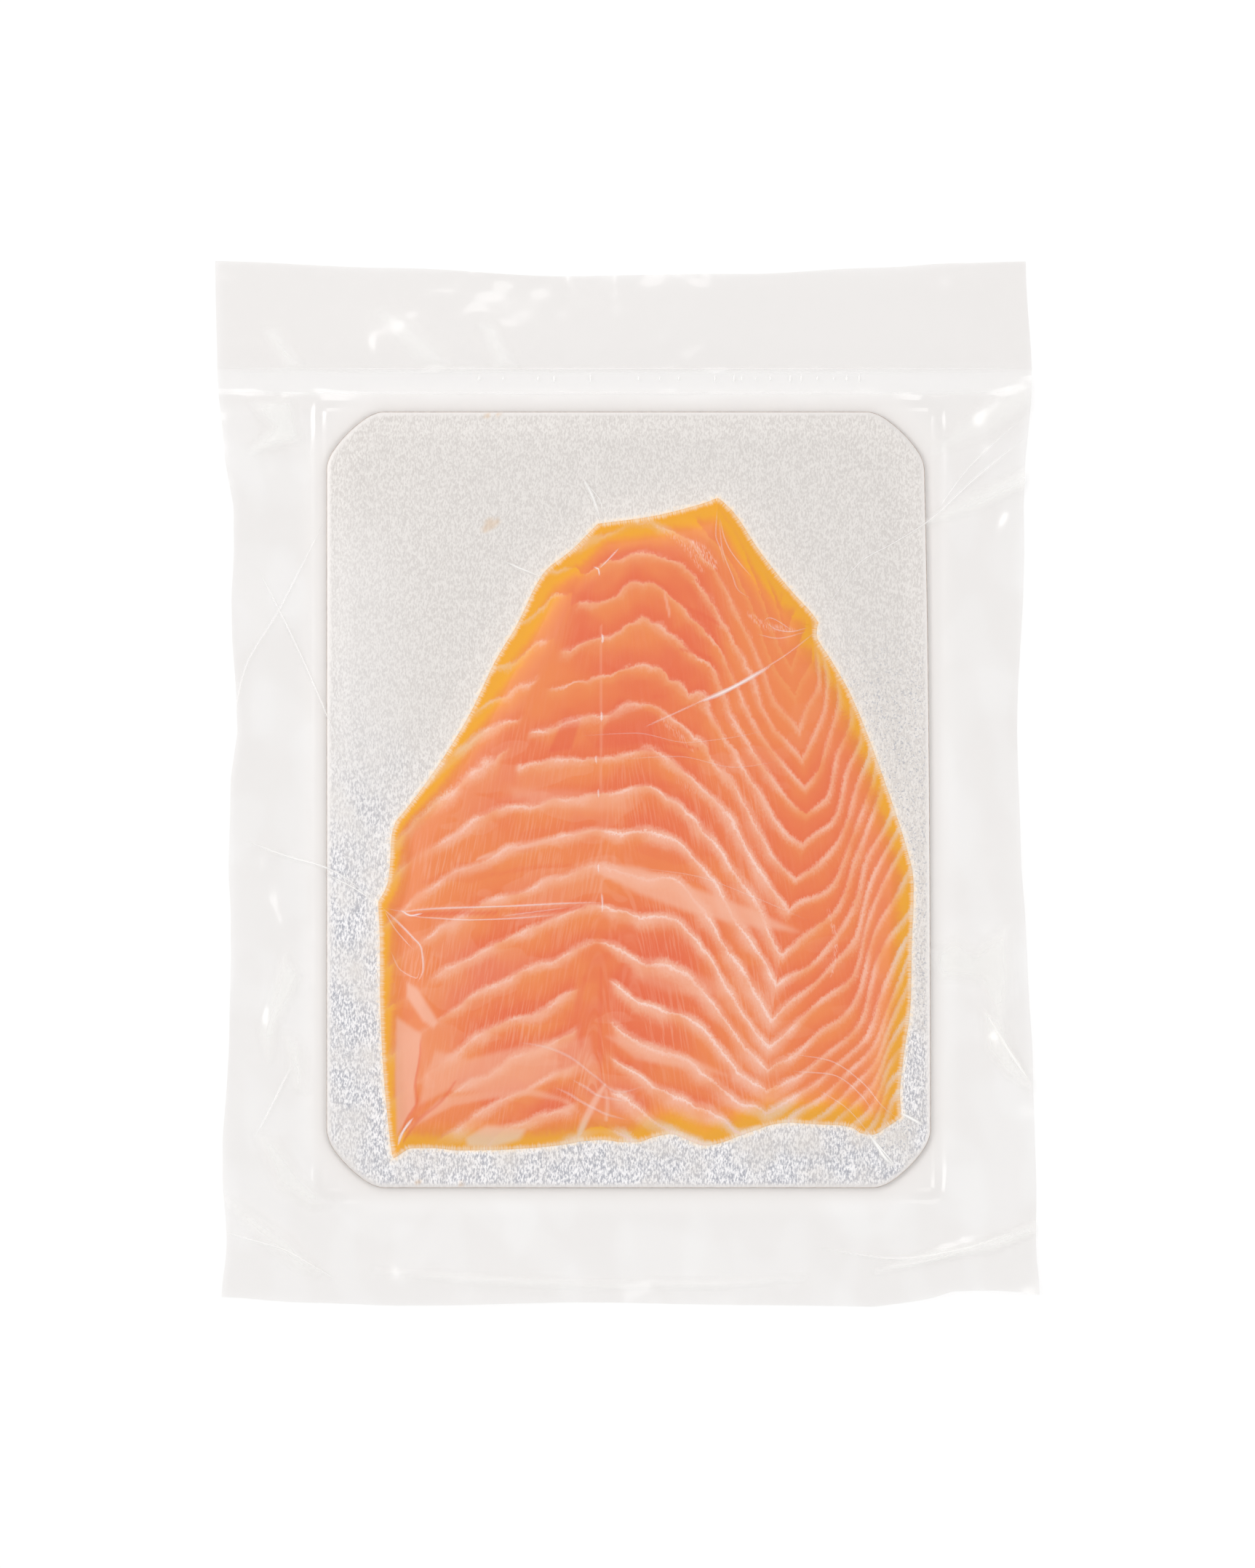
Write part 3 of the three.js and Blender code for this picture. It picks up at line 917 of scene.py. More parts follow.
@dataclass(frozen=True)
class FlakeLines:
    """The lines of fat that part the flakes, numbered from the top.

    Each line comes in from the left edge, climbs to the middle seam and a crest, runs
    down to a valley on the right and turns steeply up to the right edge.
    """

    stations: tuple[float, ...] = (-63.5, -53, -42.5, -28.5, -12.5, -6.3, 4, 11, 19, 27.5)
    heights: dict[int, tuple[float, ...]] = field(default_factory=lambda: {
        -5: (40, 53, 66, 76, 86, 90, 94, 94, 91, 84),
        0: (11, 23, 35.5, 49, 57.5, 60, 63, 61.3, 53.5, 39.3),
        2: (-0.5, 10.5, 21.5, 33, 42, 44.5, 48, 44.7, 37.7, 20.6),
        6: (-21, -11, -3, 3.5, 6, 6.8, 9, 5.2, -1, -12.7),
        10: (-58.5, -51, -44, -36.5, -30.5, -28.7, -31.8, -33, -41, -54),
        13: (-93, -83.5, -74.7, -66.5, -59, -56.5, -61.8, -65, -69.7, -76.4),
        18: (-133, -122.5, -114.5, -107.5, -100, -98.7, -103.5, -107.5, -111, -114.5),
        21: (-157, -146, -138, -131, -124, -123, -127, -131, -134.5, -138.5),
    })
    # The last bend before the valley, the valley, and the bends right of it.
    arms: dict[int, tuple[Point, ...]] = field(default_factory=lambda: {
        -5: ((33.5, 66), (36, 52), (37.5, 54), (39, 56.5), (40, 60), (41, 65), (43.5, 78)),
        0: ((35.5, 20.5), (41, 13.5), (43, 18.5), (45.8, 25), (45.5, 31), (44.5, 40), (48, 59)),
        3: ((36.5, -1.5), (42.8, -7), (47.7, -2.2), (50.5, 7.3), (53.5, 16.2), (53.7, 22.4), (56, 34.5)),
        6: ((34, -25), (38.6, -31.5), (50.5, -21.5), (55, -9.2), (59.3, 1.3), (60.7, 9.2), (63.2, 20.5)),
        8: ((33, -42.5), (35.8, -48.5), (49, -38), (54.7, -26.8), (57.5, -17.6), (62.8, -8.3), (68, 3)),
        10: ((31.5, -59.5), (34, -63), (45.3, -53.4), (54, -46), (58.2, -30.6), (67.4, -14), (72, -4)),
        12: ((31.2, -72), (33.5, -74), (45.6, -66.4), (56.3, -55.7), (60, -42), (69.5, -28), (74, -19.7)),
        14: ((31, -83.5), (33.3, -85), (48, -73.6), (58.4, -63.6), (63.5, -51), (69.5, -38.7), (75, -31)),
        18: ((31.5, -115.5), (34, -116), (50.5, -91.7), (59.3, -81), (63, -71.8), (70, -66), (76, -61)),
        21: (
            (31.5, -139.5), (34.5, -141), (54, -107.5), (63.7, -91.7), (67, -83), (72.5, -76.8),
            (77.7, -72.4),
        ),
    })
    valley_bend: int = 11
    rows_per_flake: int = 16
    column_step: float = 0.6

    def grid(self) -> tuple[np.ndarray, np.ndarray, np.ndarray]:
        """Lays points along every line and between the lines.

        Returns:
            The points' places across and along, by row and column, and each row's
            number on the lines' scale.
        """
        first, last = min(self.heights), max(self.heights)
        number = np.linspace(last, first, (last - first) * self.rows_per_flake + 1)
        left_y = smooth_through(list(self.heights), list(self.heights.values()), number)
        left_x = np.broadcast_to(np.array(self.stations, float), left_y.shape)
        arms = smooth_through(list(self.arms), list(self.arms.values()), number)
        bends = np.concatenate([np.stack([left_x, left_y], axis=2), arms], axis=1)
        lengths = np.linalg.norm(np.diff(bends, axis=1), axis=2)
        places = []
        for bend, longest in enumerate(np.percentile(lengths, 80, axis=0)):
            count = int(math.ceil(longest / self.column_step))
            places.append(bend + np.arange(count) / count)
        place = np.append(np.concatenate(places), bends.shape[1] - 1.0)
        by_bend = bends.transpose(1, 0, 2)
        valley = self.valley_bend
        left = place <= valley
        curve = np.concatenate([
            smooth_through(range(valley + 1), by_bend[: valley + 1], place[left]),
            smooth_through(range(len(by_bend) - valley), by_bend[valley:], place[~left] - valley),
        ])
        return curve[..., 0].T, curve[..., 1].T, number


@dataclass
class SliceStack:
    """A stack of salmon slices in register, of which the top one shows."""

    RUN_REACH: ClassVar[float] = 11.0  # how deep inside the rim the hairs' run is worked out
    VALUES = (
        "flake", "pitch", "rim", "run", "band", "fibre", "threads", "fat", "core", "width", "lined",
        "deepens", "cling", "gleam", "shade", "haze", "wet", "fuzz", "coral",
    )

    lines: FlakeLines = field(default_factory=FlakeLines)
    edge: float = 1.8
    full: float = 6.1
    edge_reach: float = 7.0
    swell: float = 0.45
    rim_share: float = 0.14
    rim_width: float = 5.5
    groove: float = 0.14
    groove_width: float = 1.1
    fold_x: float = -6.3
    fold_top: float = -12.0
    fold_bottom: float = -70.0
    fold_depth: float = 0.7
    fold_width: float = 4.0
    rounding: float = 0.5
    stroke_step: float = 1.5
    bump: float = 0.06
    bump_size: float = 6.0

    # How wide the yellow edge is, by place on the outline.
    smoked_edge: tuple[tuple[float, float, float], ...] = (
        (-59.5, -30, 1.6), (-57, -12, 1.6), (-46, 4, 2.4), (-32, 29, 3.4), (-20.5, 50, 3.4), (-7, 62.7, 2.6),
        (6, 64.5, 3.0), (17, 67, 3.0), (21.8, 69, 2.6), (31.8, 56, 3.0), (44, 41.7, 2.4), (49, 29.7, 2.0),
        (59.3, 7.8, 2.0), (67.9, -18, 2.2), (68.4, -39, 2.6), (66, -70, 3.0), (66, -80.3, 2.8),
        (53, -82.5, 3.8), (27.7, -84.5, 3.4), (10, -84.3, 3.4), (0, -86.4, 2.4), (-20.5, -87.5, 2.2),
        (-39, -88.3, 2.8), (-51, -87.6, 2.2), (-57.5, -81, 1.7), (-59.5, -53, 1.7),
    )

    strokes: tuple[Stroke, ...] = (
        # The middle seam.
        Stroke(((-6.3, 38), (-6.2, 10), (-6.6, -8)), 0.8, 0.3, 0.04),
        Stroke(((-6.6, -8), (-6.4, -20), (-6.0, -31)), 0.8, 0.25, 0.04),
        # Broad pale ridges.
        Stroke(((-36, -18), (-25, -15), (-14.5, -12.5), (-7, -10.8)), 2.6, 0.75, 0.15),
        Stroke(((8.8, 46.5), (10.2, 40)), 1.0, 0.6),
        Stroke(((-5.6, -72.4), (-8, -76.5), (-10, -80.4), (-12.4, -86.4)), 2.6, 0.85),
        Stroke(((-5.3, -73), (-4.8, -77), (-5.2, -81)), 1.6, 0.6),
        Stroke(((-54, -30.3), (-46, -29.9), (-28.5, -29.4), (-5.6, -28.5)), 1.2, 0.35, 0.15),
        Stroke(((-30, -31.6), (-18, -31.4), (-5.6, -29.8)), 2.2, 0.35, 0.1),
        # Thin dark edges, the fold along the seam and the inside of creases.
        Stroke((
            (-49.5, -61), (-50, -66.5), (-51, -72.5), (-50.5, -76), (-53, -80.4), (-55, -86),
        ), 0.8, 0.55, -0.1, Mark.SHADE),
        Stroke(((-54, -86), (-50, -80.5), (-45, -76.5), (-41, -71)), 1.2, 0.5, -0.1, Mark.SHADE),
        Stroke(((-6.4, -44), (-6.6, -58), (-6.5, -73)), 1.4, 0.5, 0.0, Mark.SHADE),
        Stroke(((-10, -46), (-12, -54), (-11, -63)), 2.6, 0.35, 0.0, Mark.SHADE),
        Stroke(((-52, -31.4), (-40, -31), (-31, -30.9)), 1.7, 0.7, 0.0, Mark.SHADE),
        Stroke(((-27, -31), (-18, -30.6), (-10, -29.4)), 1.5, 0.6, 0.0, Mark.SHADE),
        Stroke(((14.2, 42.4), (18, 40.6), (22, 38.3)), 1.5, 0.6, 0.0, Mark.SHADE),
        Stroke(((12.2, 32.4), (16, 31.6), (20.4, 30)), 1.3, 0.6, 0.0, Mark.SHADE),
        Stroke(((5.6, 20.4), (7.4, 21.2), (9.2, 21)), 0.9, 0.5, 0.0, Mark.SHADE),
        Stroke(((-1, 11), (8, 10), (17, 8.5)), 0.8, 0.7, 0.0, Mark.SHADE),
        Stroke(((-1, 8.5), (9, 8), (16, 6)), 0.8, 0.5, 0.0, Mark.SHADE),
        Stroke(((-33, -22), (-22, -20), (-13, -19.5)), 1.6, 0.3, 0.0, Mark.SHADE),
        # White fibrous tufts.
        Stroke(((15.5, 58), (19.5, 54), (21, 52)), 5.0, 0.5, 0.0, Mark.FUZZ),
        Stroke(((7, 62), (13, 58), (18, 51)), 2.2, 0.4, 0.0, Mark.FUZZ),
        Stroke(((12, 1), (17, -2), (22, -5)), 5.0, 0.2, 0.0, Mark.FUZZ),
        Stroke(((12, -22), (20, -24), (26, -28)), 3.0, 0.15, 0.0, Mark.FUZZ),
        Stroke(((8, 16), (12, 12), (16, 8)), 2.4, 0.35, 0.0, Mark.FUZZ),
        Stroke(((29, 41), (33, 38), (40, 37)), 2.6, 0.4, 0.0, Mark.FUZZ),
        Stroke(((48, -30), (50, -38), (49, -46)), 1.5, 0.5, 0.0, Mark.FUZZ),
    )

    patches: tuple[Patch, ...] = (
        # Painted sheen where air lies under the film: a pale haze for the light that the air gap reflects.
        Patch(((-28, -1), (-14, -1.5), (0, -3), (0, -6.5), (-14, -6), (-27, -4.5)), 0.3, 1.2),
        Patch((
            (-8, -19), (3, -20), (16, -25), (30, -30), (41, -35.5), (28, -34), (14, -30.5),
            (2, -26), (-7, -21),
        ), 0.7, 0.9),
        Patch(((1, -43), (13, -44.5), (24, -48), (23, -51), (10, -50), (1, -46.5)), 0.3, 1.2),
        Patch(((-53, -47.5), (-50.5, -49), (-45.5, -57), (-46.5, -58.5), (-49, -57), (-53, -51)), 0.85, 0.5),
        Patch((
            (-55.5, -56), (-49.5, -60), (-50, -66), (-51.2, -73), (-50.8, -77), (-55.5, -84.5),
            (-55.8, -70),
        ), 0.75, 0.5),
        Patch((
            (-46, -64), (-38, -66), (-28, -63.5), (-17, -61), (-16, -70), (-24, -73.5),
            (-33, -74.5), (-43, -73.5), (-50, -77), (-48.5, -70),
        ), 0.5, 0.8),
        Patch((
            (-52, -82.5), (-42, -77.3), (-33, -75.5), (-24, -74.7), (-16, -76), (-11, -79.5),
            (-14, -76), (-23, -73), (-34, -73.6), (-45, -75.5),
        ), 0.55, 0.5),
        Patch(((-18, -63), (-9, -60.5), (-8, -67), (-13, -70.5), (-19, -70)), 0.35, 0.8),
        Patch((
            (-39, -85), (-34, -82), (-24, -82.5), (-26, -85.5), (-33, -87.8), (-38.5, -87.3),
        ), 0.8, 0.9, Mark.GLEAM),
        Patch(((-5, -60.5), (4, -62), (14, -65), (24, -70), (12, -68), (2, -66)), 0.5, 0.8),
        Patch(((-19, 7.5), (-15.3, 16.2), (-10.9, 16.2), (-13.5, 8.3)), 0.6, 0.5, Mark.WET),
        Patch(((-8.2, 8.3), (-2, 21), (7.5, 16.2), (5, 10)), 0.35, 0.6, Mark.WET),
        # A crumb, and a round bubble under the film whose reflection is painted pale.
        Patch(((33.9, -77.1), (36, -77.4), (35.1, -79)), 0.9, 0.25, Mark.GLEAM),
        Patch(((24.3, 4), (25, 5.2), (26.4, 5.1), (27, 3.8), (26.2, 2.7), (24.9, 2.8)), 0.3, 0.4, Mark.GLEAM),
        # Where no lines show: beside the seam's fold and under the painted sheen of the air gaps.
        Patch((
            (-12, -40), (-7, -37), (-3.4, -42), (-3.4, -84), (-13, -84), (-12.5, -60),
        ), 1.0, 1.6, Mark.PLAIN),
        Patch((
            (-62, -30), (-52, -31), (-46, -44), (-44, -60), (-43, -90), (-62, -92),
        ), 0.85, 3.5, Mark.PLAIN),
        Patch(((-64, -8), (-50, -4), (-46, -16), (-50, -28), (-64, -30)), 0.7, 4.0, Mark.PLAIN),
        # Where the flesh is at its deepest coral.
        Patch(((-16, 55), (4, 60), (18, 50), (24, 34), (18, 18), (0, 22), (-14, 30)), 1.0, 6.0, Mark.CORAL),
        Patch(((-30, 14), (0, 20), (20, 12), (22, -16), (-4, -14), (-34, -8)), 0.75, 8.0, Mark.CORAL),
        Patch((
            (-36, -28), (-4, -26), (18, -36), (20, -62), (0, -72), (-40, -66), (-44, -44),
        ), 0.85, 9.0, Mark.CORAL),
        Patch(((30, 6), (52, 8), (62, -20), (62, -60), (40, -70), (30, -44)), 0.5, 9.0, Mark.CORAL),
        Patch(((-42, -70), (-20, -72), (0, -70), (20, -76), (0, -80), (-30, -80)), 0.9, 4.0, Mark.CORAL),
    )

    def build(self, board_top: float, outline: DepthMap, finish: SmokedFlesh) -> bpy.types.Object:
        """Makes the slices on the board.

        Args:
            board_top: the height of the board's face.
            outline: the slices' depth map.
            finish: the flesh's finish.

        Returns:
            The piece.
        """
        grid_x, grid_y, number = self.lines.grid()
        cut = CutGrid.cut(grid_x, grid_y, outline, self.rounding)
        values = self._values(cut, grid_x, grid_y, number, outline)
        top = board_top + self.height(cut.x, cut.y, outline) + self._relief(cut, values)
        rings = ((0.0, board_top + 0.1), (0.15, board_top))
        body = cut.body(top, rings, outline)
        rim = np.unique(cut.rim_edges)
        spread = {title: np.concatenate([v] + [v[rim]] * len(rings)) for title, v in values.items()}
        piece = make_piece("salmon_slices", body, [finish.build()], spread)
        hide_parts("salmon")
        return piece

    def height(self, x: np.ndarray, y: np.ndarray, outline: DepthMap) -> np.ndarray:
        """Gives the stack's height above the board, without lines and creases."""
        depth = np.maximum(outline.at(x, y), 0)
        dome = 1 - np.exp(-depth / self.edge_reach)
        swell = self.swell * np.sin(x / 19 + 0.6) * np.cos(y / 27)
        along = smooth_step(self.fold_top, self.fold_bottom, y)
        fold = self.fold_depth * along * np.exp(-(((x - self.fold_x) / self.fold_width) ** 2))
        rim = self.rim_share + (1 - self.rim_share) * smooth_step(0.0, self.rim_width, depth)
        return self.edge * rim + dome * (self.full - self.edge + swell - fold)

    def _values(
        self, cut: CutGrid, grid_x: np.ndarray, grid_y: np.ndarray, number: np.ndarray, outline: DepthMap
    ) -> dict[str, np.ndarray]:
        """Works out what the finish reads at each point.

        Args:
            cut: the cut grid.
            grid_x: the whole grid's places across.
            grid_y: its places along.
            number: each row's number on the lines' scale.
            outline: the slices' depth map.

        Returns:
            An array for each of VALUES.
        """
        along_x, along_y = np.gradient(grid_x, axis=1), np.gradient(grid_y, axis=1)
        down_x = np.gradient(grid_x, number, axis=0)
        down_y = np.gradient(grid_y, number, axis=0)
        pitch = np.abs(down_x * along_y - down_y * along_x) / np.maximum(np.hypot(along_x, along_y), 1e-6)
        lines = np.broadcast_to(number[:, None], grid_x.shape)
        x, y = cut.x, cut.y
        flake = lines.ravel()[cut.kept]
        spacing = np.maximum(pitch.ravel()[cut.kept], 0.8)
        arm = smooth_step(30, 44, x + 0.1 * y + 3)
        low = smooth_step(25, -15, y)
        humps = 0.8 * np.abs(soft_noise(x, y, 10.0, 32)) + 0.22 * np.abs(soft_noise(x, y, 3.0, 33))
        drift = 0.6 * soft_noise(x, y, 16.0, 31) + (humps - 0.6) * (1 - 0.85 * arm) * (1 - 0.55 * low)
        shift, parting = self._side_flakes(x, y)
        rim = outline.at(x, y)
        marks = {mark.value: self._marked(x, y, mark) for mark in Mark}
        fan = smooth_step(-7, -3, x) * smooth_step(6, -20, y) * (1 - arm)
        fat = np.minimum(self._fat(x, y, flake, arm) * (1 + 0.3 * fan), 1)
        fat *= (1 - parting) * (1 - marks["plain"])
        values = {
            "flake": flake + 30.0 + shift + drift * np.minimum(1.0, spacing / 6.0) / spacing,
            "pitch": spacing,
            "rim": rim,
            "run": self._run(x, y, rim, outline),
            "band": self._band_width(x, y, outline),
            "fibre": x - 0.17 * y * (1 - 2 * smooth_step(-10, 4, x)),
            "threads": (0.04 + 0.14 * low) * (1 + 0.6 * soft_noise(x, y, 22, 8)) * (1 - 0.8 * arm),
            "fat": fat,
            "core": fat * (1 - 0.6 * arm)
            * np.clip(0.42 - 0.12 * low + 0.9 * fan + 0.35 * soft_noise(x, y, 7, 51), 0, 1),
            "width": (1.9 + low + 1.2 * fan + 0.6 * soft_noise(x, y, 14, 9)) * (1 - arm) + 1.7 * arm,
            "cling": 0.14 * smooth_step(38, 8, y) * (1 - 0.5 * arm),
        }
        plain = np.maximum(marks.pop("plain"), 0.9 * parting)
        values.update(marks)
        values["coral"] = np.clip(0.15 + marks["coral"], 0, 1)
        values["lined"] = 0.85 * (1 - plain)
        values["deepens"] = 0.75 * (1 - plain) * values["coral"]
        return values

    @staticmethod
    def _fat(x: np.ndarray, y: np.ndarray, flake: np.ndarray, arm: np.ndarray) -> np.ndarray:
        """Gives how strongly the lines of fat show: faint near the top, clear at the right."""
        first = smooth_step(-0.7, -0.3, flake)
        high_up = 0.34 + 0.52 * smooth_step(48, -12, y)
        wander = 0.76 + 0.3 * soft_noise(x, y, 9, 3)
        right = (0.24 + 0.34 * smooth_step(36, -20, y)) * (1 + 0.45 * soft_noise(x, y, 8, 4))
        return np.clip(first * (high_up * wander * (1 - arm) + right * arm), 0, 1)

    @staticmethod
    def _run(x: np.ndarray, y: np.ndarray, rim: np.ndarray, outline: DepthMap) -> np.ndarray:
        """Gives places near the rim their distance along the outline."""
        closed = np.vstack([outline.loop, outline.loop[:1]])
        around = np.linalg.norm(np.diff(closed, axis=0), axis=1).sum()
        run = np.zeros(x.shape)
        near = rim < SliceStack.RUN_REACH
        run[near] = line_distance(x[near], y[near], closed)[1] * around
        return run

    @staticmethod
    def _side_flakes(x: np.ndarray, y: np.ndarray) -> tuple[np.ndarray, np.ndarray]:
        """Shifts the lines by half a flake left of an oblique boundary near the top.

        Args:
            x: places across.
            y: places along.

        Returns:
            The shift in flakes, and where the lines part at the boundary.
        """
        boundary = np.interp(y, (4.8, 14, 25.5, 35.5, 48.7), (-28.4, -24.5, -19.6, -17, -11.8))
        fade = smooth_step(-8, 8, y) * smooth_step(56, 48, y)
        shift = 0.5 * fade * smooth_step(0.5, -0.5, x - boundary)
        parting = smooth_step(3.2, 1.0, np.abs(x - boundary)) * smooth_step(0.1, 0.5, fade)
        return shift, parting

    def _band_width(self, x: np.ndarray, y: np.ndarray, outline: DepthMap) -> np.ndarray:
        """Spreads the widths named along the smoked edge over the slices."""
        named = np.array(self.smoked_edge)
        total = np.zeros(x.shape)
        weight = np.zeros(x.shape)
        for place_x, place_y, width in named:
            near = 1 / (1.0 + ((x - place_x) ** 2 + (y - place_y) ** 2)) ** 1.5
            total += near * width
            weight += near
        return total / weight

    def _marked(self, x: np.ndarray, y: np.ndarray, mark: Mark) -> np.ndarray:
        """Draws every stroke and patch of one kind."""
        strength = np.zeros(x.shape)
        for stroke in self.strokes:
            if stroke.mark is mark:
                away, passed = line_distance(x, y, resample(stroke.points, self.stroke_step))
                taper = np.sqrt(np.clip(4 * passed * (1 - passed), 0, 1))
                drawn = smooth_step(0.5, 0.1, away / (stroke.width * (0.4 + 0.6 * taper)))
                strength = np.maximum(strength, stroke.strength * drawn)
        for patch in self.patches:
            if patch.mark is mark:
                inside = signed_depth(x, y, np.array(patch.corners, float))
                strength = np.maximum(strength, patch.strength * smooth_step(-patch.soft, patch.soft, inside))
        return strength

    def _relief(self, cut: CutGrid, values: dict[str, np.ndarray]) -> np.ndarray:
        """Grooves the slices along the lines of fat and raises their creases."""
        share = values["flake"] % 1.0
        away = np.minimum(share, 1 - share) * values["pitch"]
        depth = smooth_step(0.3, 3.0, values["rim"])
        relief = -self.groove * depth * np.minimum(values["fat"], 1)
        relief = relief * np.exp(-((away / self.groove_width) ** 2))
        for stroke in self.strokes:
            if stroke.height:
                gap, passed = line_distance(cut.x, cut.y, resample(stroke.points, self.stroke_step))
                taper = np.clip(4 * passed * (1 - passed), 0, 1)
                relief += stroke.height * taper * depth * np.exp(-((gap / (0.6 * stroke.width)) ** 2))
        return relief + self.bump * depth * soft_noise(cut.x, cut.y, self.bump_size, 11)


# --------------------------------------------------------------------- card


@dataclass
class FoilCard:
    """The foil-laminated card under the slices, with a pressed rim and a die-cut edge."""

    VALUES = ("painted_light_left", "cling", "speckle", "pressed", "stain", "away")

    cell: float = 0.75
    rim: float = 0.55
    rim_drop: float = 0.14
    edge_drop: float = 0.34
    burr: float = 0.12
    grain: float = 0.012
    grain_size: float = 2.4
    dent: float = 0.02
    stain_strength: float = 0.45
    stains: tuple[tuple[float, float, float], ...] = (
        (-33.0, 62.7, 1.6), (-34.2, 61.4, 1.0), (-31.4, 63.2, 0.9), (-33.7, 88.7, 0.8), (-31.0, 89.0, 0.6),
        (-50.5, -96.0, 0.8), (-40.0, -96.4, 0.7),
    )

    def build(
        self, outline: DepthMap, fish: DepthMap, foil: EmbossedFoil, card: RawCard
    ) -> bpy.types.Object:
        """Makes the card in the place of its solid.

        Args:
            outline: the card's depth map.
            fish: the slices' one, whose frayed edge stains the foil, painted lighter there as a glow.
            foil: the finish of its faces.
            card: the finish of its cut edge.

        Returns:
            The piece.
        """
        low, high = (np.array(corner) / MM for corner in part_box("foil_board"))
        across = np.arange(low[0] - self.cell, high[0] + 2 * self.cell, self.cell)
        along = np.arange(low[1] - self.cell, high[1] + 2 * self.cell, self.cell)
        cut = CutGrid.cut(*np.meshgrid(across, along), outline, self.rim)
        fade = smooth_step(0.6, 2.5, outline.at(cut.x, cut.y))
        relief = self.grain * soft_noise(cut.x, 0.6 * cut.y, self.grain_size, 5)
        relief += self.dent * soft_noise(cut.x, cut.y, 26.0, 6) - 2 * self.dent
        top = high[2] + np.minimum(fade * relief, 0.0)
        middle = (low[2] + high[2]) / 2
        rings = (
            (self.burr, high[2] - self.rim_drop), (self.burr, high[2] - self.edge_drop),
            (0.0, middle), (0.0, low[2] + self.rim_drop), (self.rim / 2, low[2]),
        )
        body = cut.body(top, rings, outline)
        band = len(cut.rim_edges)
        body.finish_of_face = [0] * (len(cut.faces) + band) + [1] * band * (len(rings) - 1)
        body.finish_of_face += [0] * (len(body.faces) - len(body.finish_of_face))
        x, y = body.points[:, 0], body.points[:, 1]
        values = {
            # Painted highlight: the left side of the foil is lightened as if a lamp shone on it.
            "painted_light_left": 0.2 * smooth_step(-44, -68, x) * smooth_step(78, 45, y),
            "cling": smooth_step(8, -58, y + 0.35 * x + 6 * soft_noise(x, y, 30, 13))
            * (1 - 0.6 * smooth_step(62, 68, x) * smooth_step(-62, -50, y)),
            "speckle": smooth_step(36, 62, x) * smooth_step(48, 15, y) * 0.7,
            "pressed": 0.8 * smooth_step(1.3, 0.7, outline.at(x, y)),
            "stain": np.zeros(len(x)),
            "away": -fish.at(x, y),
        }
        for place_x, place_y, size in self.stains:
            away = np.hypot(x - place_x, y - place_y) / size
            spot = self.stain_strength * smooth_step(1.2, 0.5, away)
            values["stain"] = np.maximum(values["stain"], spot)
        piece = make_piece("foil_card", body, [foil.build(), card.build()], values)
        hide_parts("foil_board")
        return piece


# --------------------------------------------------------------------- film


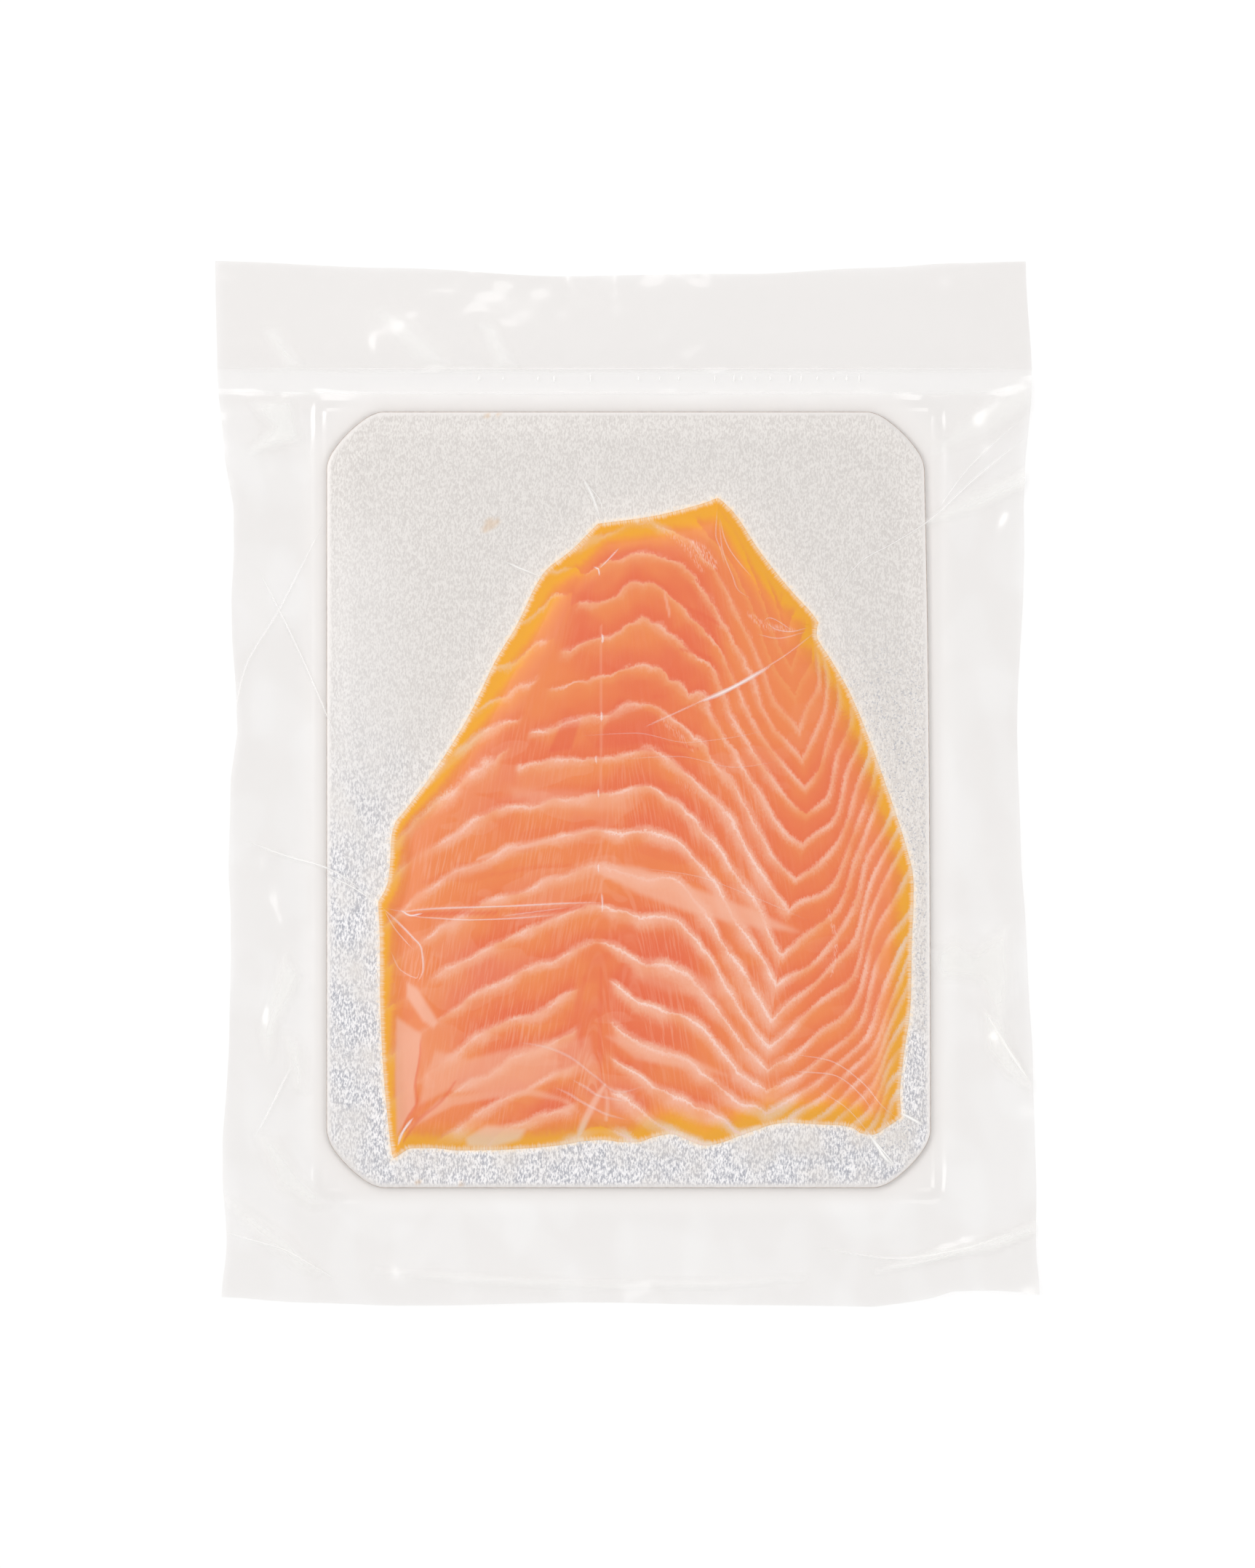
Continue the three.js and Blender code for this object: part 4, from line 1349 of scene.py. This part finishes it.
@dataclass
class Pouch:
    """The clear pouch: an under film, an upper film drawn down on the fish, creases."""

    outline: DepthMap
    fish: DepthMap
    card: DepthMap
    slices: SliceStack
    card_box: tuple[np.ndarray, np.ndarray]
    thickness: float = 0.12
    pair: float = 0.6
    seal_low: float = 94.3
    seal_high: float = 100.1
    seal_pressed: float = 0.2
    ripple_mean: float = 1.1
    ripple_swell: float = 0.8
    ripple_cross: float = 0.5
    ripple_from: float = 5.0
    ripple_to: float = 24.0
    shoulder: float = 0.15
    shoulder_reach: float = 3.6
    shoulder_flat: float = 0.3
    cling_gap: float = 0.14
    drape_reach: float = 2.6
    wrinkle: float = 0.3
    wrinkle_size: float = 15.0
    ripple: float = 0.16
    slack: float = 0.4  # how much of the folds' and wrinkles' height is left in the flat margins
    film_step: float = 1.05
    under_step: float = 2.5
    card_room: float = 3.0
    under_card_gap: float = 0.02
    sunk: float = 0.05
    crease_step: float = 0.8
    crease_matt: float = 0.8
    fold_step: float = 3.0
    crease_rise: float = 0.5
    milk_on_fish: float = 0.75
    highlight_milk: float = 0.34
    lobe_softness: float = 1.5
    # A crease's section, from its right to its left: how far aside and how tall.
    ridge: tuple[tuple[float, float], ...] = ((-1, 0), (-0.5, 0.55), (0, 1), (0.5, 0.55), (1, 0))

    folds: tuple[Stroke, ...] = (
        Stroke(((-86.3, 108), (-82, 104), (-79, 101)), 3.5, 1.0, 0.5),
        Stroke(((-58.5, 112.5), (-50, 108), (-44, 101.5)), 7.0, 1.0, 0.7),
        Stroke(((-33.5, 109), (-30, 105), (-28.3, 101)), 4.0, 1.0, 0.5),
        Stroke(((-86, 92), (-83.5, 86), (-81.5, 81)), 6.0, 1.0, 0.8),
        Stroke(((-75, 89), (-70, 88), (-66, 92)), 4.0, 1.0, 0.4),
        Stroke(((-82.3, -42.4), (-85.4, -51.7), (-87, -63.4), (-92.5, -69)), 3.0, 1.0, 0.7),
        Stroke(((-84, -57), (-79, -64), (-77, -71)), 7.0, 1.0, 0.6),
        Stroke(((-96, -100), (-90, -105), (-82, -109), (-74.5, -117)), 4.5, 1.0, 0.9),
        Stroke(((76, -43), (84, -52), (91, -63), (95, -78)), 7.0, 1.0, 1.0),
        Stroke(((92, -48), (90, -62), (95, -75)), 5.0, 1.0, 0.8),
        Stroke(((55, -116), (66, -116), (80, -111.5), (95, -107)), 3.6, 1.0, 0.8),
        Stroke(((-20, 122), (20, 119), (55, 121), (92, 124)), 3.0, 1.0, 0.35),
        Stroke(((-90, 121), (-50, 117.5), (-20, 116.5)), 3.0, 1.0, 0.35),
        Stroke(((84, 50), (90, 58), (94, 70)), 5.0, 1.0, 0.6),
        Stroke(((80, 0), (88, -12), (91, -28)), 5.0, 1.0, 0.5),
        Stroke(((-90, 20), (-86, 5), (-88, -12)), 4.0, 1.0, 0.4),
    )

    creases: tuple[Stroke, ...] = (
        # Across the margins and the card.
        Stroke(((-73.2, 63.1), (-84, 42), (-92.5, 26.8), (-95.7, 9.6)), 0.6, 0.35, 0.12),
        Stroke(((-89.3, 52.4), (-80.7, 35.3), (-72.2, 16.1), (-66.8, 3.2), (-60.4, -1.5)), 0.6, 0.5, 0.12),
        Stroke(((-91.4, -13.9), (-82, -17.4), (-72.2, -20.3), (-66, -24), (-60.4, -28.8)), 0.8, 0.7, 0.14),
        Stroke(((-73, -21.5), (-66, -25), (-60, -29)), 0.7, 0.8, 0.14),
        Stroke(((-10.9, 74), (-8.4, 69.2), (-6.5, 63.6)), 1.3, 0.8, 0.18),
        Stroke(((-9.5, 72), (-6.5, 68), (-5.6, 63.8)), 0.5, 0.6, 0.12),
        Stroke(((-29.6, 53.6), (-25, 51.6), (-21.1, 50.1)), 0.9, 0.8, 0.14),
        Stroke((
            (46, 38.9), (51, 47), (56.1, 53.5), (64, 58), (72.1, 63.1), (83.9, 73.8), (95.6, 83.4),
        ), 0.55, 0.55, 0.12),
        Stroke(((73.2, 63.9), (82, 76), (95.6, 88.7)), 0.4, 0.3, 0.1),
        Stroke(((57.6, -83.6), (60, -87), (62, -90), (64.6, -92.4)), 1.5, 1.0, 0.22),
        Stroke(((58.6, -85), (61.4, -88.2), (64.6, -92)), 0.7, 1.0, 0.2),
        Stroke(((65.3, -79), (68.4, -80.6), (71.5, -82.4)), 1.3, 1.0, 0.2),
        Stroke(((46, -111.8), (64.7, -114.3), (79.6, -112.2), (96.7, -106.9)), 0.8, 0.5, 0.14),
        Stroke(((60, -117), (74, -114.4), (94.6, -107.3)), 0.6, 0.4, 0.14),
        Stroke(((-96.8, -108), (-90, -110), (-82.8, -112.2), (-76, -116), (-70, -119.7)), 0.8, 0.5, 0.14),
        Stroke(((-80.7, -67.3), (-85, -76), (-89.3, -84.5)), 0.7, 0.4, 0.12),
        Stroke(((86, -54.5), (91, -63), (96.7, -71.6)), 1.2, 0.7, 0.2),
        # Over the slices, from the right tip.
        Stroke(((16.5, 19.4), (22, 21.6), (27, 24.1), (31, 26.4), (34.4, 28.3)), 1.5, 1.0, 0.08),
        Stroke(((4, 13.6), (11, 16.8), (18, 20)), 0.7, 0.35, 0.04),
        Stroke(((30, 26), (38, 31), (45.5, 36.8)), 0.6, 0.3, 0.08),
        Stroke(((33, 39), (36, 37), (39, 36.6), (43.5, 37.6)), 0.5, 0.4, 0.1),
        Stroke(((31, 36), (36, 35), (43, 36.6)), 0.5, 0.3, 0.1),
        # From the top corner down the right flank.
        Stroke(((21.6, 66.2), (21.2, 60), (22.5, 56), (23.4, 52.4)), 0.5, 0.3, 0.08),
        Stroke(((22.2, 64), (23.2, 59.4), (24.4, 56.6), (28, 51.8), (30, 49.6)), 0.5, 0.35, 0.08),
        Stroke(((22, 64.5), (22.6, 57.4), (25.4, 49.4), (26.4, 46.8), (29.8, 44.4)), 0.5, 0.3, 0.08),
        Stroke(((32.5, 38.8), (33.9, 39.9), (39.6, 36.9)), 0.4, 0.4, 0.08),
        # The seam's bright knots.
        Stroke(((-1.9, 56.8), (-4.7, 53.8), (-6.9, 51.6)), 0.6, 0.6, 0.1),
        Stroke(((-8.3, 52.2), (-7, 51.6), (-6.7, 49.8)), 0.7, 0.8, 0.1),
        Stroke(((-6.2, 36.2), (-5.9, 35), (-6.1, 33.6)), 0.9, 0.8, 0.1),
        Stroke(((-6.3, 17.6), (-6.2, 16.4), (-6.3, 14.8)), 0.8, 0.7, 0.1),
        Stroke(((-7.5, 7), (-7.6, 6), (-7.4, 4.8)), 0.7, 0.6, 0.1),
        Stroke(((-7, -1), (-7, -2), (-6.9, -3.4)), 0.7, 0.6, 0.1),
        Stroke(((-6.9, -19), (-7, -20), (-6.9, -21.4)), 0.7, 0.6, 0.1),
        Stroke(((-6.2, -26), (-6, -29), (-6.1, -31)), 0.7, 0.6, 0.1),
        # The pair of folds from the left corner to the seam, and those below them.
        Stroke((
            (-58.8, -29.8), (-53.5, -30.6), (-50, -30.2), (-46, -29.9), (-28.5, -29.3),
            (-14, -28.6), (-5.6, -28.4),
        ), 0.7, 0.6, 0.12),
        Stroke((
            (-54, -30.6), (-51, -31.8), (-46, -32.2), (-38, -32.6), (-28.5, -32.3), (-17, -31.4),
        ), 0.6, 0.5, 0.12),
        Stroke(((-30.5, -31.8), (-24, -30.9), (-14, -29.6)), 0.5, 0.3, 0.08),
        Stroke(((-54.6, -30.2), (-52, -31.6), (-49, -31)), 0.7, 0.9, 0.14),
        Stroke((
            (-59, -29.8), (-55.4, -33), (-51.8, -36.6), (-49.5, -39.4), (-49, -44.3),
            (-50.4, -47.8),
        ), 0.8, 0.6, 0.12),
        Stroke(((-58.4, -30.6), (-56, -34.6), (-51.6, -39.6)), 0.5, 0.4, 0.1),
        Stroke(((-57, -40), (-54.6, -44.6), (-50.6, -46.6), (-49.8, -44)), 0.5, 0.3, 0.1),
        # From the lower left corner.
        Stroke(((-55.3, -87.2), (-54.4, -84.4), (-52.6, -81.6), (-51.3, -80)), 1.0, 1.0, 0.16),
        # Across the seam near the bottom and over the lower right corner.
        Stroke(((-26, -62), (-20, -63), (-14, -65.4), (-8, -70), (-2, -74), (4, -72.6)), 1.0, 0.25, 0.08),
        Stroke((
            (-17.7, -72.7), (-14.2, -74.3), (-11.2, -76.2), (-7.5, -78.2), (-4.9, -79.4),
            (-0.4, -80.6),
        ), 1.0, 0.3, 0.08),
        Stroke(((-13.5, -70.8), (-10.2, -72.7), (-7, -74.8), (-0.4, -76.2)), 1.0, 0.28, 0.08),
        Stroke(((39, -64.8), (47.9, -66.2), (56.7, -72), (61.4, -77.6), (65.4, -80.8)), 0.5, 0.35, 0.1),
        Stroke(((39, -68.9), (48.8, -69.7), (56.7, -75.5), (59.3, -79.7)), 0.5, 0.35, 0.1),
        Stroke(((45.3, -73.2), (52.3, -77.6), (59.3, -85.5)), 0.4, 0.3, 0.1),
        # Long fine wrinkles across the middle.
        Stroke(((-12, 11.5), (2, 12.2), (14, 10), (24, 11), (34, 13)), 0.4, 0.22, 0.06),
        Stroke(((-2, 6), (12, 6.6), (26, 4), (36, 5.4)), 0.4, 0.22, 0.06),
        Stroke(((2, -20), (16, -22), (30, -27), (44, -33)), 0.4, 0.22, 0.06),
    )
    # Painted highlights where folds of the loose margins catch the light: the film is drawn clearer and
    # milkier there.
    lobes: tuple[Patch, ...] = (
        Patch((
            (74, -41), (79.5, -38), (84, -41), (91, -35.5), (92, -46), (90, -57), (85, -47),
            (75.5, -46),
        ), 1.0, 1.6),
        Patch(((86, -55), (90, -57), (93, -66), (97, -73), (92, -70), (87, -64)), 1.0, 1.2),
        Patch((
            (-82.5, -41.5), (-79, -46), (-81.5, -52), (-84.5, -57.5), (-86.5, -66), (-88, -60),
            (-85.5, -52),
        ), 1.0, 1.3),
        Patch(((-83, -60), (-79, -62), (-77.5, -74), (-80, -73)), 0.9, 1.3),
        Patch(((-90, 91.5), (-81.5, 92.5), (-79, 83), (-90, 80.5), (-85, 86)), 1.0, 1.3),
        Patch(((-87, 109), (-84.5, 109), (-79, 101), (-82, 100.8)), 0.9, 1.3),
        Patch(((-59.5, 113), (-54, 112), (-43, 101), (-50, 102.5)), 0.8, 2.0),
        Patch(((-35, 110.5), (-32.5, 110), (-27.5, 101), (-31, 101)), 0.8, 1.5),
        Patch(((-89, -84.5), (-85, -86), (-79, -94.5), (-72, -101), (-76, -101.5), (-84, -97)), 0.9, 1.5),
        Patch(((-97, -99.5), (-90, -104), (-82, -109.5), (-74.5, -118), (-79, -117), (-91, -107)), 0.9, 1.3),
        Patch((
            (60, -117.5), (75.4, -114), (88, -112), (98, -108), (98, -106), (87.8, -110),
            (75, -112),
        ), 1.0, 0.9),
        Patch((
            (-61, -117), (-40, -119.5), (-9, -121.3), (22, -121), (43, -119), (22, -119.6),
            (-9, -120),
        ), 0.8, 0.8),
        Patch(((72, 63), (84, 66), (97, 72.5), (97, 76), (84, 70)), 0.8, 1.0),
        Patch(((74, 80), (86, 84), (97, 92), (97, 97), (84, 90)), 0.6, 1.5),
    )
    # Each line's height, width and milkiness.
    weld_lines: tuple[tuple[float, float, float], ...] = (
        (94.3, 0.5, 0.35), (99.3, 0.4, 0.2), (100.1, 0.6, 0.4),
    )
    weld_rise: float = 0.05
    tick_middle: float = 97.8
    tick_half: float = 0.8
    tick_sway: float = 0.35
    tick_width: float = 0.6
    tick_strength: float = 0.7
    tick_rise: float = 0.08
    weld_ticks: tuple[float, ...] = (
        -35.8, -30, -21.6, -17.7, -9, 2.6, 7.7, 12.3, 21, 25.6, 27.5, 30.8, 34.4, 39.2, 41.8, 45.7, 49.6,
        52.8, 55.8,
    )

    def beyond_card(self, x: np.ndarray, y: np.ndarray) -> np.ndarray:
        """Gives how far places lie outside the card's rectangle."""
        low, high = self.card_box
        aside = np.maximum(np.maximum(low[0] - x, x - high[0]), 0)
        past = np.maximum(np.maximum(low[1] - y, y - high[1]), 0)
        return np.hypot(aside, past)

    def lift(self, x: np.ndarray, y: np.ndarray) -> np.ndarray:
        """Gives how far a margin's soft ripples lift it off the surface."""
        free = smooth_step(self.ripple_from, self.ripple_to, self.beyond_card(x, y))
        swell = self.ripple_swell * np.sin(x / 9.5 + y / 17)
        cross = self.ripple_cross * np.sin(y / 8.5 - x / 23 + 1.3)
        return free * np.maximum(self.ripple_mean + swell + cross, 0)

    def top_height(self, x: np.ndarray, y: np.ndarray) -> np.ndarray:
        """Gives the height of the upper film's outer face."""
        beyond = self.beyond_card(x, y)
        card_top = self.card_box[1][2]
        climb = smooth_step(self.shoulder_reach, self.shoulder_flat, beyond)
        middle, half = (self.seal_low + self.seal_high) / 2, (self.seal_high - self.seal_low) / 2
        pressed = self.seal_pressed * smooth_step(0.4, -0.4, np.abs(y - middle) - half)
        margin = self.pair - pressed
        margin = margin + self.slack * self._folded(x, y) * smooth_step(1.0, 4.0, beyond)
        ground = margin * (1 - climb) + (card_top + self.shoulder + self.thickness) * climb
        depth = self.fish.at(x, y)
        stack = self.slices.height(x, y, self.fish) + self.cling_gap + self.thickness
        fall = smooth_step(-self.drape_reach, 0.0, depth)
        # Off the fish the drape ends, so that the film drops to the margins there.
        over = np.where(fall > 0, card_top + stack * fall, 0.0)
        return self.lift(x, y) + np.maximum(ground, over)

    def _clearing_and_highlights(self, x: np.ndarray, y: np.ndarray) -> np.ndarray:
        """Gives how clear the film is drawn: thin in the weld; in the loose margins a little clearer, more so
        towards the bottom and in facets that are painted highlights.
        """
        margin = smooth_step(1.0, 5.0, self.beyond_card(x, y)) * smooth_step(103, 94, y)
        broad = smooth_step(0.0, 0.6, soft_noise(x, y, 30.0, 71))
        sharp = smooth_step(0.25, 0.4, soft_noise(1.5 * x, 0.8 * y, 20.0, 72))
        thin = margin * (0.12 + 0.25 * smooth_step(20, -60, y) + 0.3 * broad + 0.3 * sharp)
        return np.maximum(thin, 0.8 * smooth_step(0.7, -0.3, np.abs(y - 96.9) - 2.8))

    def _margin_highlights(self, x: np.ndarray, y: np.ndarray) -> np.ndarray:
        """Gives the painted highlights where the margins' folds catch the light."""
        light = np.zeros(x.shape)
        for lobe in self.lobes:
            inside = signed_depth(x, y, np.array(lobe.corners, float))
            soft = self.lobe_softness * lobe.soft
            light = np.maximum(light, lobe.strength * smooth_step(-soft, soft, inside))
        return light

    def _matted(self, x: np.ndarray, y: np.ndarray) -> np.ndarray:
        """Gives how much of its gloss the film loses over the fish and the card's edge."""
        over_fish = smooth_step(-7.0, -3.4, self.fish.at(x, y))
        over_edge = smooth_step(7.5, 4.2, np.abs(self.card.at(x, y)))
        on_flap = 0.3 * smooth_step(101, 107, y)
        return np.maximum.reduce([over_fish, over_edge, on_flap])

    def _folded(self, x: np.ndarray, y: np.ndarray) -> np.ndarray:
        """Adds up the loose folds of the margins."""
        total = np.zeros(np.shape(x))
        for fold in self.folds:
            away, passed = line_distance(x, y, resample(fold.points, self.fold_step))
            taper = np.clip(4 * passed * (1 - passed), 0, 1)
            total = total + fold.height * taper * np.exp(-((away / (0.5 * fold.width)) ** 2))
        ridges = 1 - np.minimum(np.abs(soft_noise(x, y, self.wrinkle_size, 21)) * 1.3, 1)
        return total + self.wrinkle * ridges**2 + self.ripple * (1 + soft_noise(x, y, 11.0, 22))

    def _edges(self) -> dict[str, np.ndarray]:
        """Splits the outline at its four corners.

        Returns:
            The points of each edge, from left to right or from the bottom up.
        """
        loop = self.outline.loop
        corners = [int(np.argmax(loop @ np.array(way))) for way in ((-1, -1), (1, -1), (1, 1), (-1, 1))]
        runs = []
        for first, last in zip(corners, corners[1:] + corners[:1]):
            count = (last - first) % len(loop)
            runs.append(loop[(first + np.arange(count + 1)) % len(loop)])
        bottom, right, top, left = runs
        return {"bottom": bottom, "right": right, "top": top[::-1], "left": left[::-1]}

    @staticmethod
    def _along(edge: np.ndarray, share: np.ndarray) -> np.ndarray:
        """Gives the points at shares of an edge's straight length."""
        span = edge[-1] - edge[0]
        passed = (edge - edge[0]) @ span / (span @ span)
        passed = np.maximum.accumulate(passed)
        return np.stack([np.interp(share, passed, edge[:, axis]) for axis in (0, 1)], axis=-1)

    def grid(self, step: float) -> tuple[np.ndarray, np.ndarray]:
        """Lays a grid that is square over the card and runs out to the pouch's wavy edges.

        Args:
            step: the longest distance between two points.

        Returns:
            The places across and along, by row and column.
        """
        low, high = self.outline.loop.min(axis=0), self.outline.loop.max(axis=0)
        room = self.card_room
        inner_low, inner_high = self.card_box[0][:2] - room, self.card_box[1][:2] + room
        shares = []
        for axis in (0, 1):
            stops = (low[axis], inner_low[axis], inner_high[axis], high[axis])
            runs = [
                np.linspace(start, end, int(math.ceil((end - start) / step)) + 1)[:-1]
                for start, end in zip(stops, stops[1:])
            ]
            ways = np.append(np.concatenate(runs), high[axis])
            shares.append((ways - low[axis]) / (high[axis] - low[axis]))
        edges = self._edges()
        across, along = shares[0][None, :, None], shares[1][:, None, None]
        bottom, top = (self._along(edges[name], shares[0])[None] for name in ("bottom", "top"))
        left, right = (self._along(edges[name], shares[1])[:, None] for name in ("left", "right"))
        sides = left * (1 - across) + right * across
        ends = bottom * (1 - along) + top * along
        corners = (
            (bottom[:, :1] * (1 - across) + bottom[:, -1:] * across) * (1 - along)
            + (top[:, :1] * (1 - across) + top[:, -1:] * across) * along
        )
        place = sides + ends - corners
        return place[..., 0], place[..., 1]

    def build(self, film: ClearFilm) -> list[bpy.types.Object]:
        """Makes both films, the creases and the weld, all of one finish."""
        clear = film.build()
        x, y = self.grid(self.film_step)
        upper = self.top_height(x, y)
        sheet = closed_sheet(x, y, upper, upper - self.thickness)
        light = self._margin_highlights(x, y)
        # Painted highlights: lobes and facets make the film clearer and milkier in the margins.
        values = {
            "thin": np.maximum(self._clearing_and_highlights(x, y), light), "milk": self.highlight_milk * light,
            "matt": self._matted(x, y),
        }
        values = {title: np.tile(v.ravel(), 2) for title, v in values.items()}
        top = make_piece("film_upper", sheet, [clear], values)
        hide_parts("film_bag")

        x, y = self.grid(self.under_step)
        base = self.lift(x, y)
        card_low = self.card_box[0][2]
        under = smooth_step(self.ripple_from, 0.5, self.beyond_card(x, y))
        thick = self.thickness + (card_low - self.under_card_gap - self.thickness) * under
        bottom = make_piece("film_lower", closed_sheet(x, y, base + thick, base), [clear])
        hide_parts("film_bag")

        creases = self._ribbons("film_creases", self.creases, clear)
        weld = self._ribbons("film_weld", self._weld_marks(), clear)
        return [top, bottom, creases, weld]

    def _ribbon(self, stroke: Stroke) -> tuple[Shape, np.ndarray]:
        """Raises one crease: a low rounded ridge along a line, tapered at both ends.

        Args:
            stroke: the crease's line, its width and how milky it is.

        Returns:
            The ridge, and how milky the film is at each of its points.
        """
        line = resample(stroke.points, self.crease_step)
        way = np.gradient(line, axis=0)
        way /= np.maximum(np.linalg.norm(way, axis=1), 1e-6)[:, None]
        side = np.stack([-way[:, 1], way[:, 0]], axis=1)
        passed = np.linspace(0, 1, len(line))
        taper = np.clip(4 * passed * (1 - passed), 0.02, 1) ** 0.6
        half = 0.5 * stroke.width * taper * (1 + 0.2 * np.sin(passed * 9))
        rows, milk = [], []
        for aside, tall in self.ridge:
            spot = line + aside * side * half[:, None]
            z = self.top_height(spot[:, 0], spot[:, 1]) - self.sunk * (1 - tall)
            z += self.crease_rise * stroke.height * taper * tall
            rows.append(np.column_stack([spot, z]))
            on_fish = smooth_step(-1.0, 1.0, self.fish.at(spot[:, 0], spot[:, 1]))
            milk.append(stroke.strength * taper * tall * (1 - (1 - self.milk_on_fish) * on_fish))
        count, sides = len(line), len(self.ridge)
        faces = []
        for a in range(sides):
            b = (a + 1) % sides
            for i in range(count - 1):
                faces.append((a * count + i, a * count + i + 1, b * count + i + 1, b * count + i))
        faces.append(tuple(a * count for a in range(sides)))
        faces.append(tuple((a + 1) * count - 1 for a in reversed(range(sides))))
        return Shape(np.vstack(rows), faces), np.concatenate(milk)

    def _ribbons(self, name: str, strokes: Iterable[Stroke], film: bpy.types.Material) -> bpy.types.Object:
        """Joins the ridges of several creases in one piece."""
        points: list[np.ndarray] = []
        milk: list[np.ndarray] = []
        faces: list[tuple[int, ...]] = []
        total = 0
        for stroke in strokes:
            shape, share = self._ribbon(stroke)
            points.append(shape.points)
            milk.append(share)
            faces += [tuple(i + total for i in face) for face in shape.faces]
            total += len(shape.points)
        matt = np.full(total, self.crease_matt)
        values = {"milk": np.concatenate(milk), "thin": np.ones(total), "matt": matt}
        return make_piece(name, Shape(np.vstack(points), faces), [film], values)

    def _weld_marks(self) -> list[Stroke]:
        """Lists the weld's edges and the short ribs that its jaws left."""
        edges = self._edges()
        marks = []
        for height, width, strength in self.weld_lines:
            left, right = (np.interp(height, *edges[name].T[::-1]) for name in ("left", "right"))
            line = ((left + 1, height), (0, height), (right - 1, height))
            marks.append(Stroke(line, width, strength, self.weld_rise))
        for i, place in enumerate(self.weld_ticks):
            tall = self.tick_half + self.tick_sway * math.sin(5.0 * i)
            line = ((place, self.tick_middle - tall), (place, self.tick_middle + tall))
            marks.append(Stroke(line, self.tick_width, self.tick_strength, self.tick_rise))
        return marks


# -------------------------------------------------------------------- stage


@dataclass
class Studio:
    """A pale floor, soft boxes and a camera straight above the pack."""

    view_height: float = 378.2
    distance: float = 1500.0
    floor_size: float = 5.0
    floor_tint: str = "#FAFAFA"
    sky_tint: str = "#FFFFFF"
    sky: float = 0.62
    floor_gap: float = 0.3
    film_faces_seen: int = 24
    box_size: float = 0.6
    # Each soft box's name, its place in metres and its power in watts.
    boxes: tuple[tuple[str, tuple[float, float, float], float], ...] = (
        ("box_left", (-0.72, 0.18, 1.28), 5.2),
        ("box_right", (0.76, -0.12, 1.28), 3.4),
        ("box_top", (-0.1, 0.74, 1.28), 2.8),
        ("box_bottom", (0.14, -0.74, 1.28), 1.4),
    )

    def build(self) -> None:
        """Makes the stage."""
        self._floor()
        for name, place, power in self.boxes:
            self._soft_box(name, place, power)
        self._sky()
        self._camera()
        bpy.context.scene.view_settings.view_transform = "Standard"
        bpy.context.scene.cycles.transparent_max_bounces = self.film_faces_seen

    def _floor(self) -> None:
        """Lays a matt pale floor just under the pack."""
        half = self.floor_size / 2
        mesh = bpy.data.meshes.new("floor")
        corners = [(-half, -half, 0), (half, -half, 0), (half, half, 0), (-half, half, 0)]
        mesh.from_pydata(corners, [], [(0, 1, 2, 3)])
        material, tree = new_material("matt_paper")
        paper = add_node(tree, "BsdfDiffuse", {"Color": linear_colour(self.floor_tint)})
        add_node(tree, "OutputMaterial", {"Surface": paper})
        mesh.materials.append(material)
        floor = bpy.data.objects.new("floor", mesh)
        floor.location.z = -self.floor_gap * MM
        bpy.context.scene.collection.objects.link(floor)

    def _soft_box(self, name: str, place: tuple[float, float, float], power: float) -> None:
        """Hangs one square light that faces the pack.

        Args:
            name: the light's name.
            place: where it hangs, in metres.
            power: how strong it is, in watts.
        """
        light = bpy.data.lights.new(name, "AREA")
        light.shape, light.size, light.energy = "SQUARE", self.box_size, power
        lamp = bpy.data.objects.new(name, light)
        lamp.location = place
        lamp.rotation_mode = "QUATERNION"
        lamp.rotation_quaternion = (-lamp.location).to_track_quat("-Z", "Y")
        bpy.context.scene.collection.objects.link(lamp)

    def _sky(self) -> None:
        """Surrounds the stage with even pale light."""
        world = bpy.data.worlds.new("studio")
        world.use_nodes = True
        ground = world.node_tree.nodes["Background"]
        ground.inputs["Color"].default_value = linear_colour(self.sky_tint)
        ground.inputs["Strength"].default_value = self.sky
        bpy.context.scene.world = world

    def _camera(self) -> None:
        """Sets a long lens straight above the pouch's middle."""
        data = bpy.data.cameras.new("camera")
        data.lens = data.sensor_width * self.distance / self.view_height
        camera = bpy.data.objects.new("camera", data)
        camera.location = (0, 0, self.distance * MM)
        bpy.context.scene.collection.objects.link(camera)
        bpy.context.scene.camera = camera


def main() -> None:
    """Builds the pack's pieces in order and reports each."""
    logging.basicConfig(level=logging.INFO, format="%(name)s: %(message)s")
    Studio().build()
    card_box = tuple(np.array(corner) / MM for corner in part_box("foil_board"))
    card = DepthMap(rounded(node_outline("foil_board"), step=1.0, sharp_deg=25), beyond=8.0)
    fish = DepthMap(rounded(node_outline("salmon"), step=0.7, sharp_deg=38), beyond=8.0)
    FoilCard().build(card, fish, EmbossedFoil(), RawCard())
    stack = SliceStack()
    stack.build(card_box[1][2], fish, SmokedFlesh())
    bag = DepthMap(node_outline("film_bag"), beyond=2.0, cell=2.0)
    Pouch(bag, fish, card, stack, card_box).build(ClearFilm())


if __name__ == "__main__":
    main()
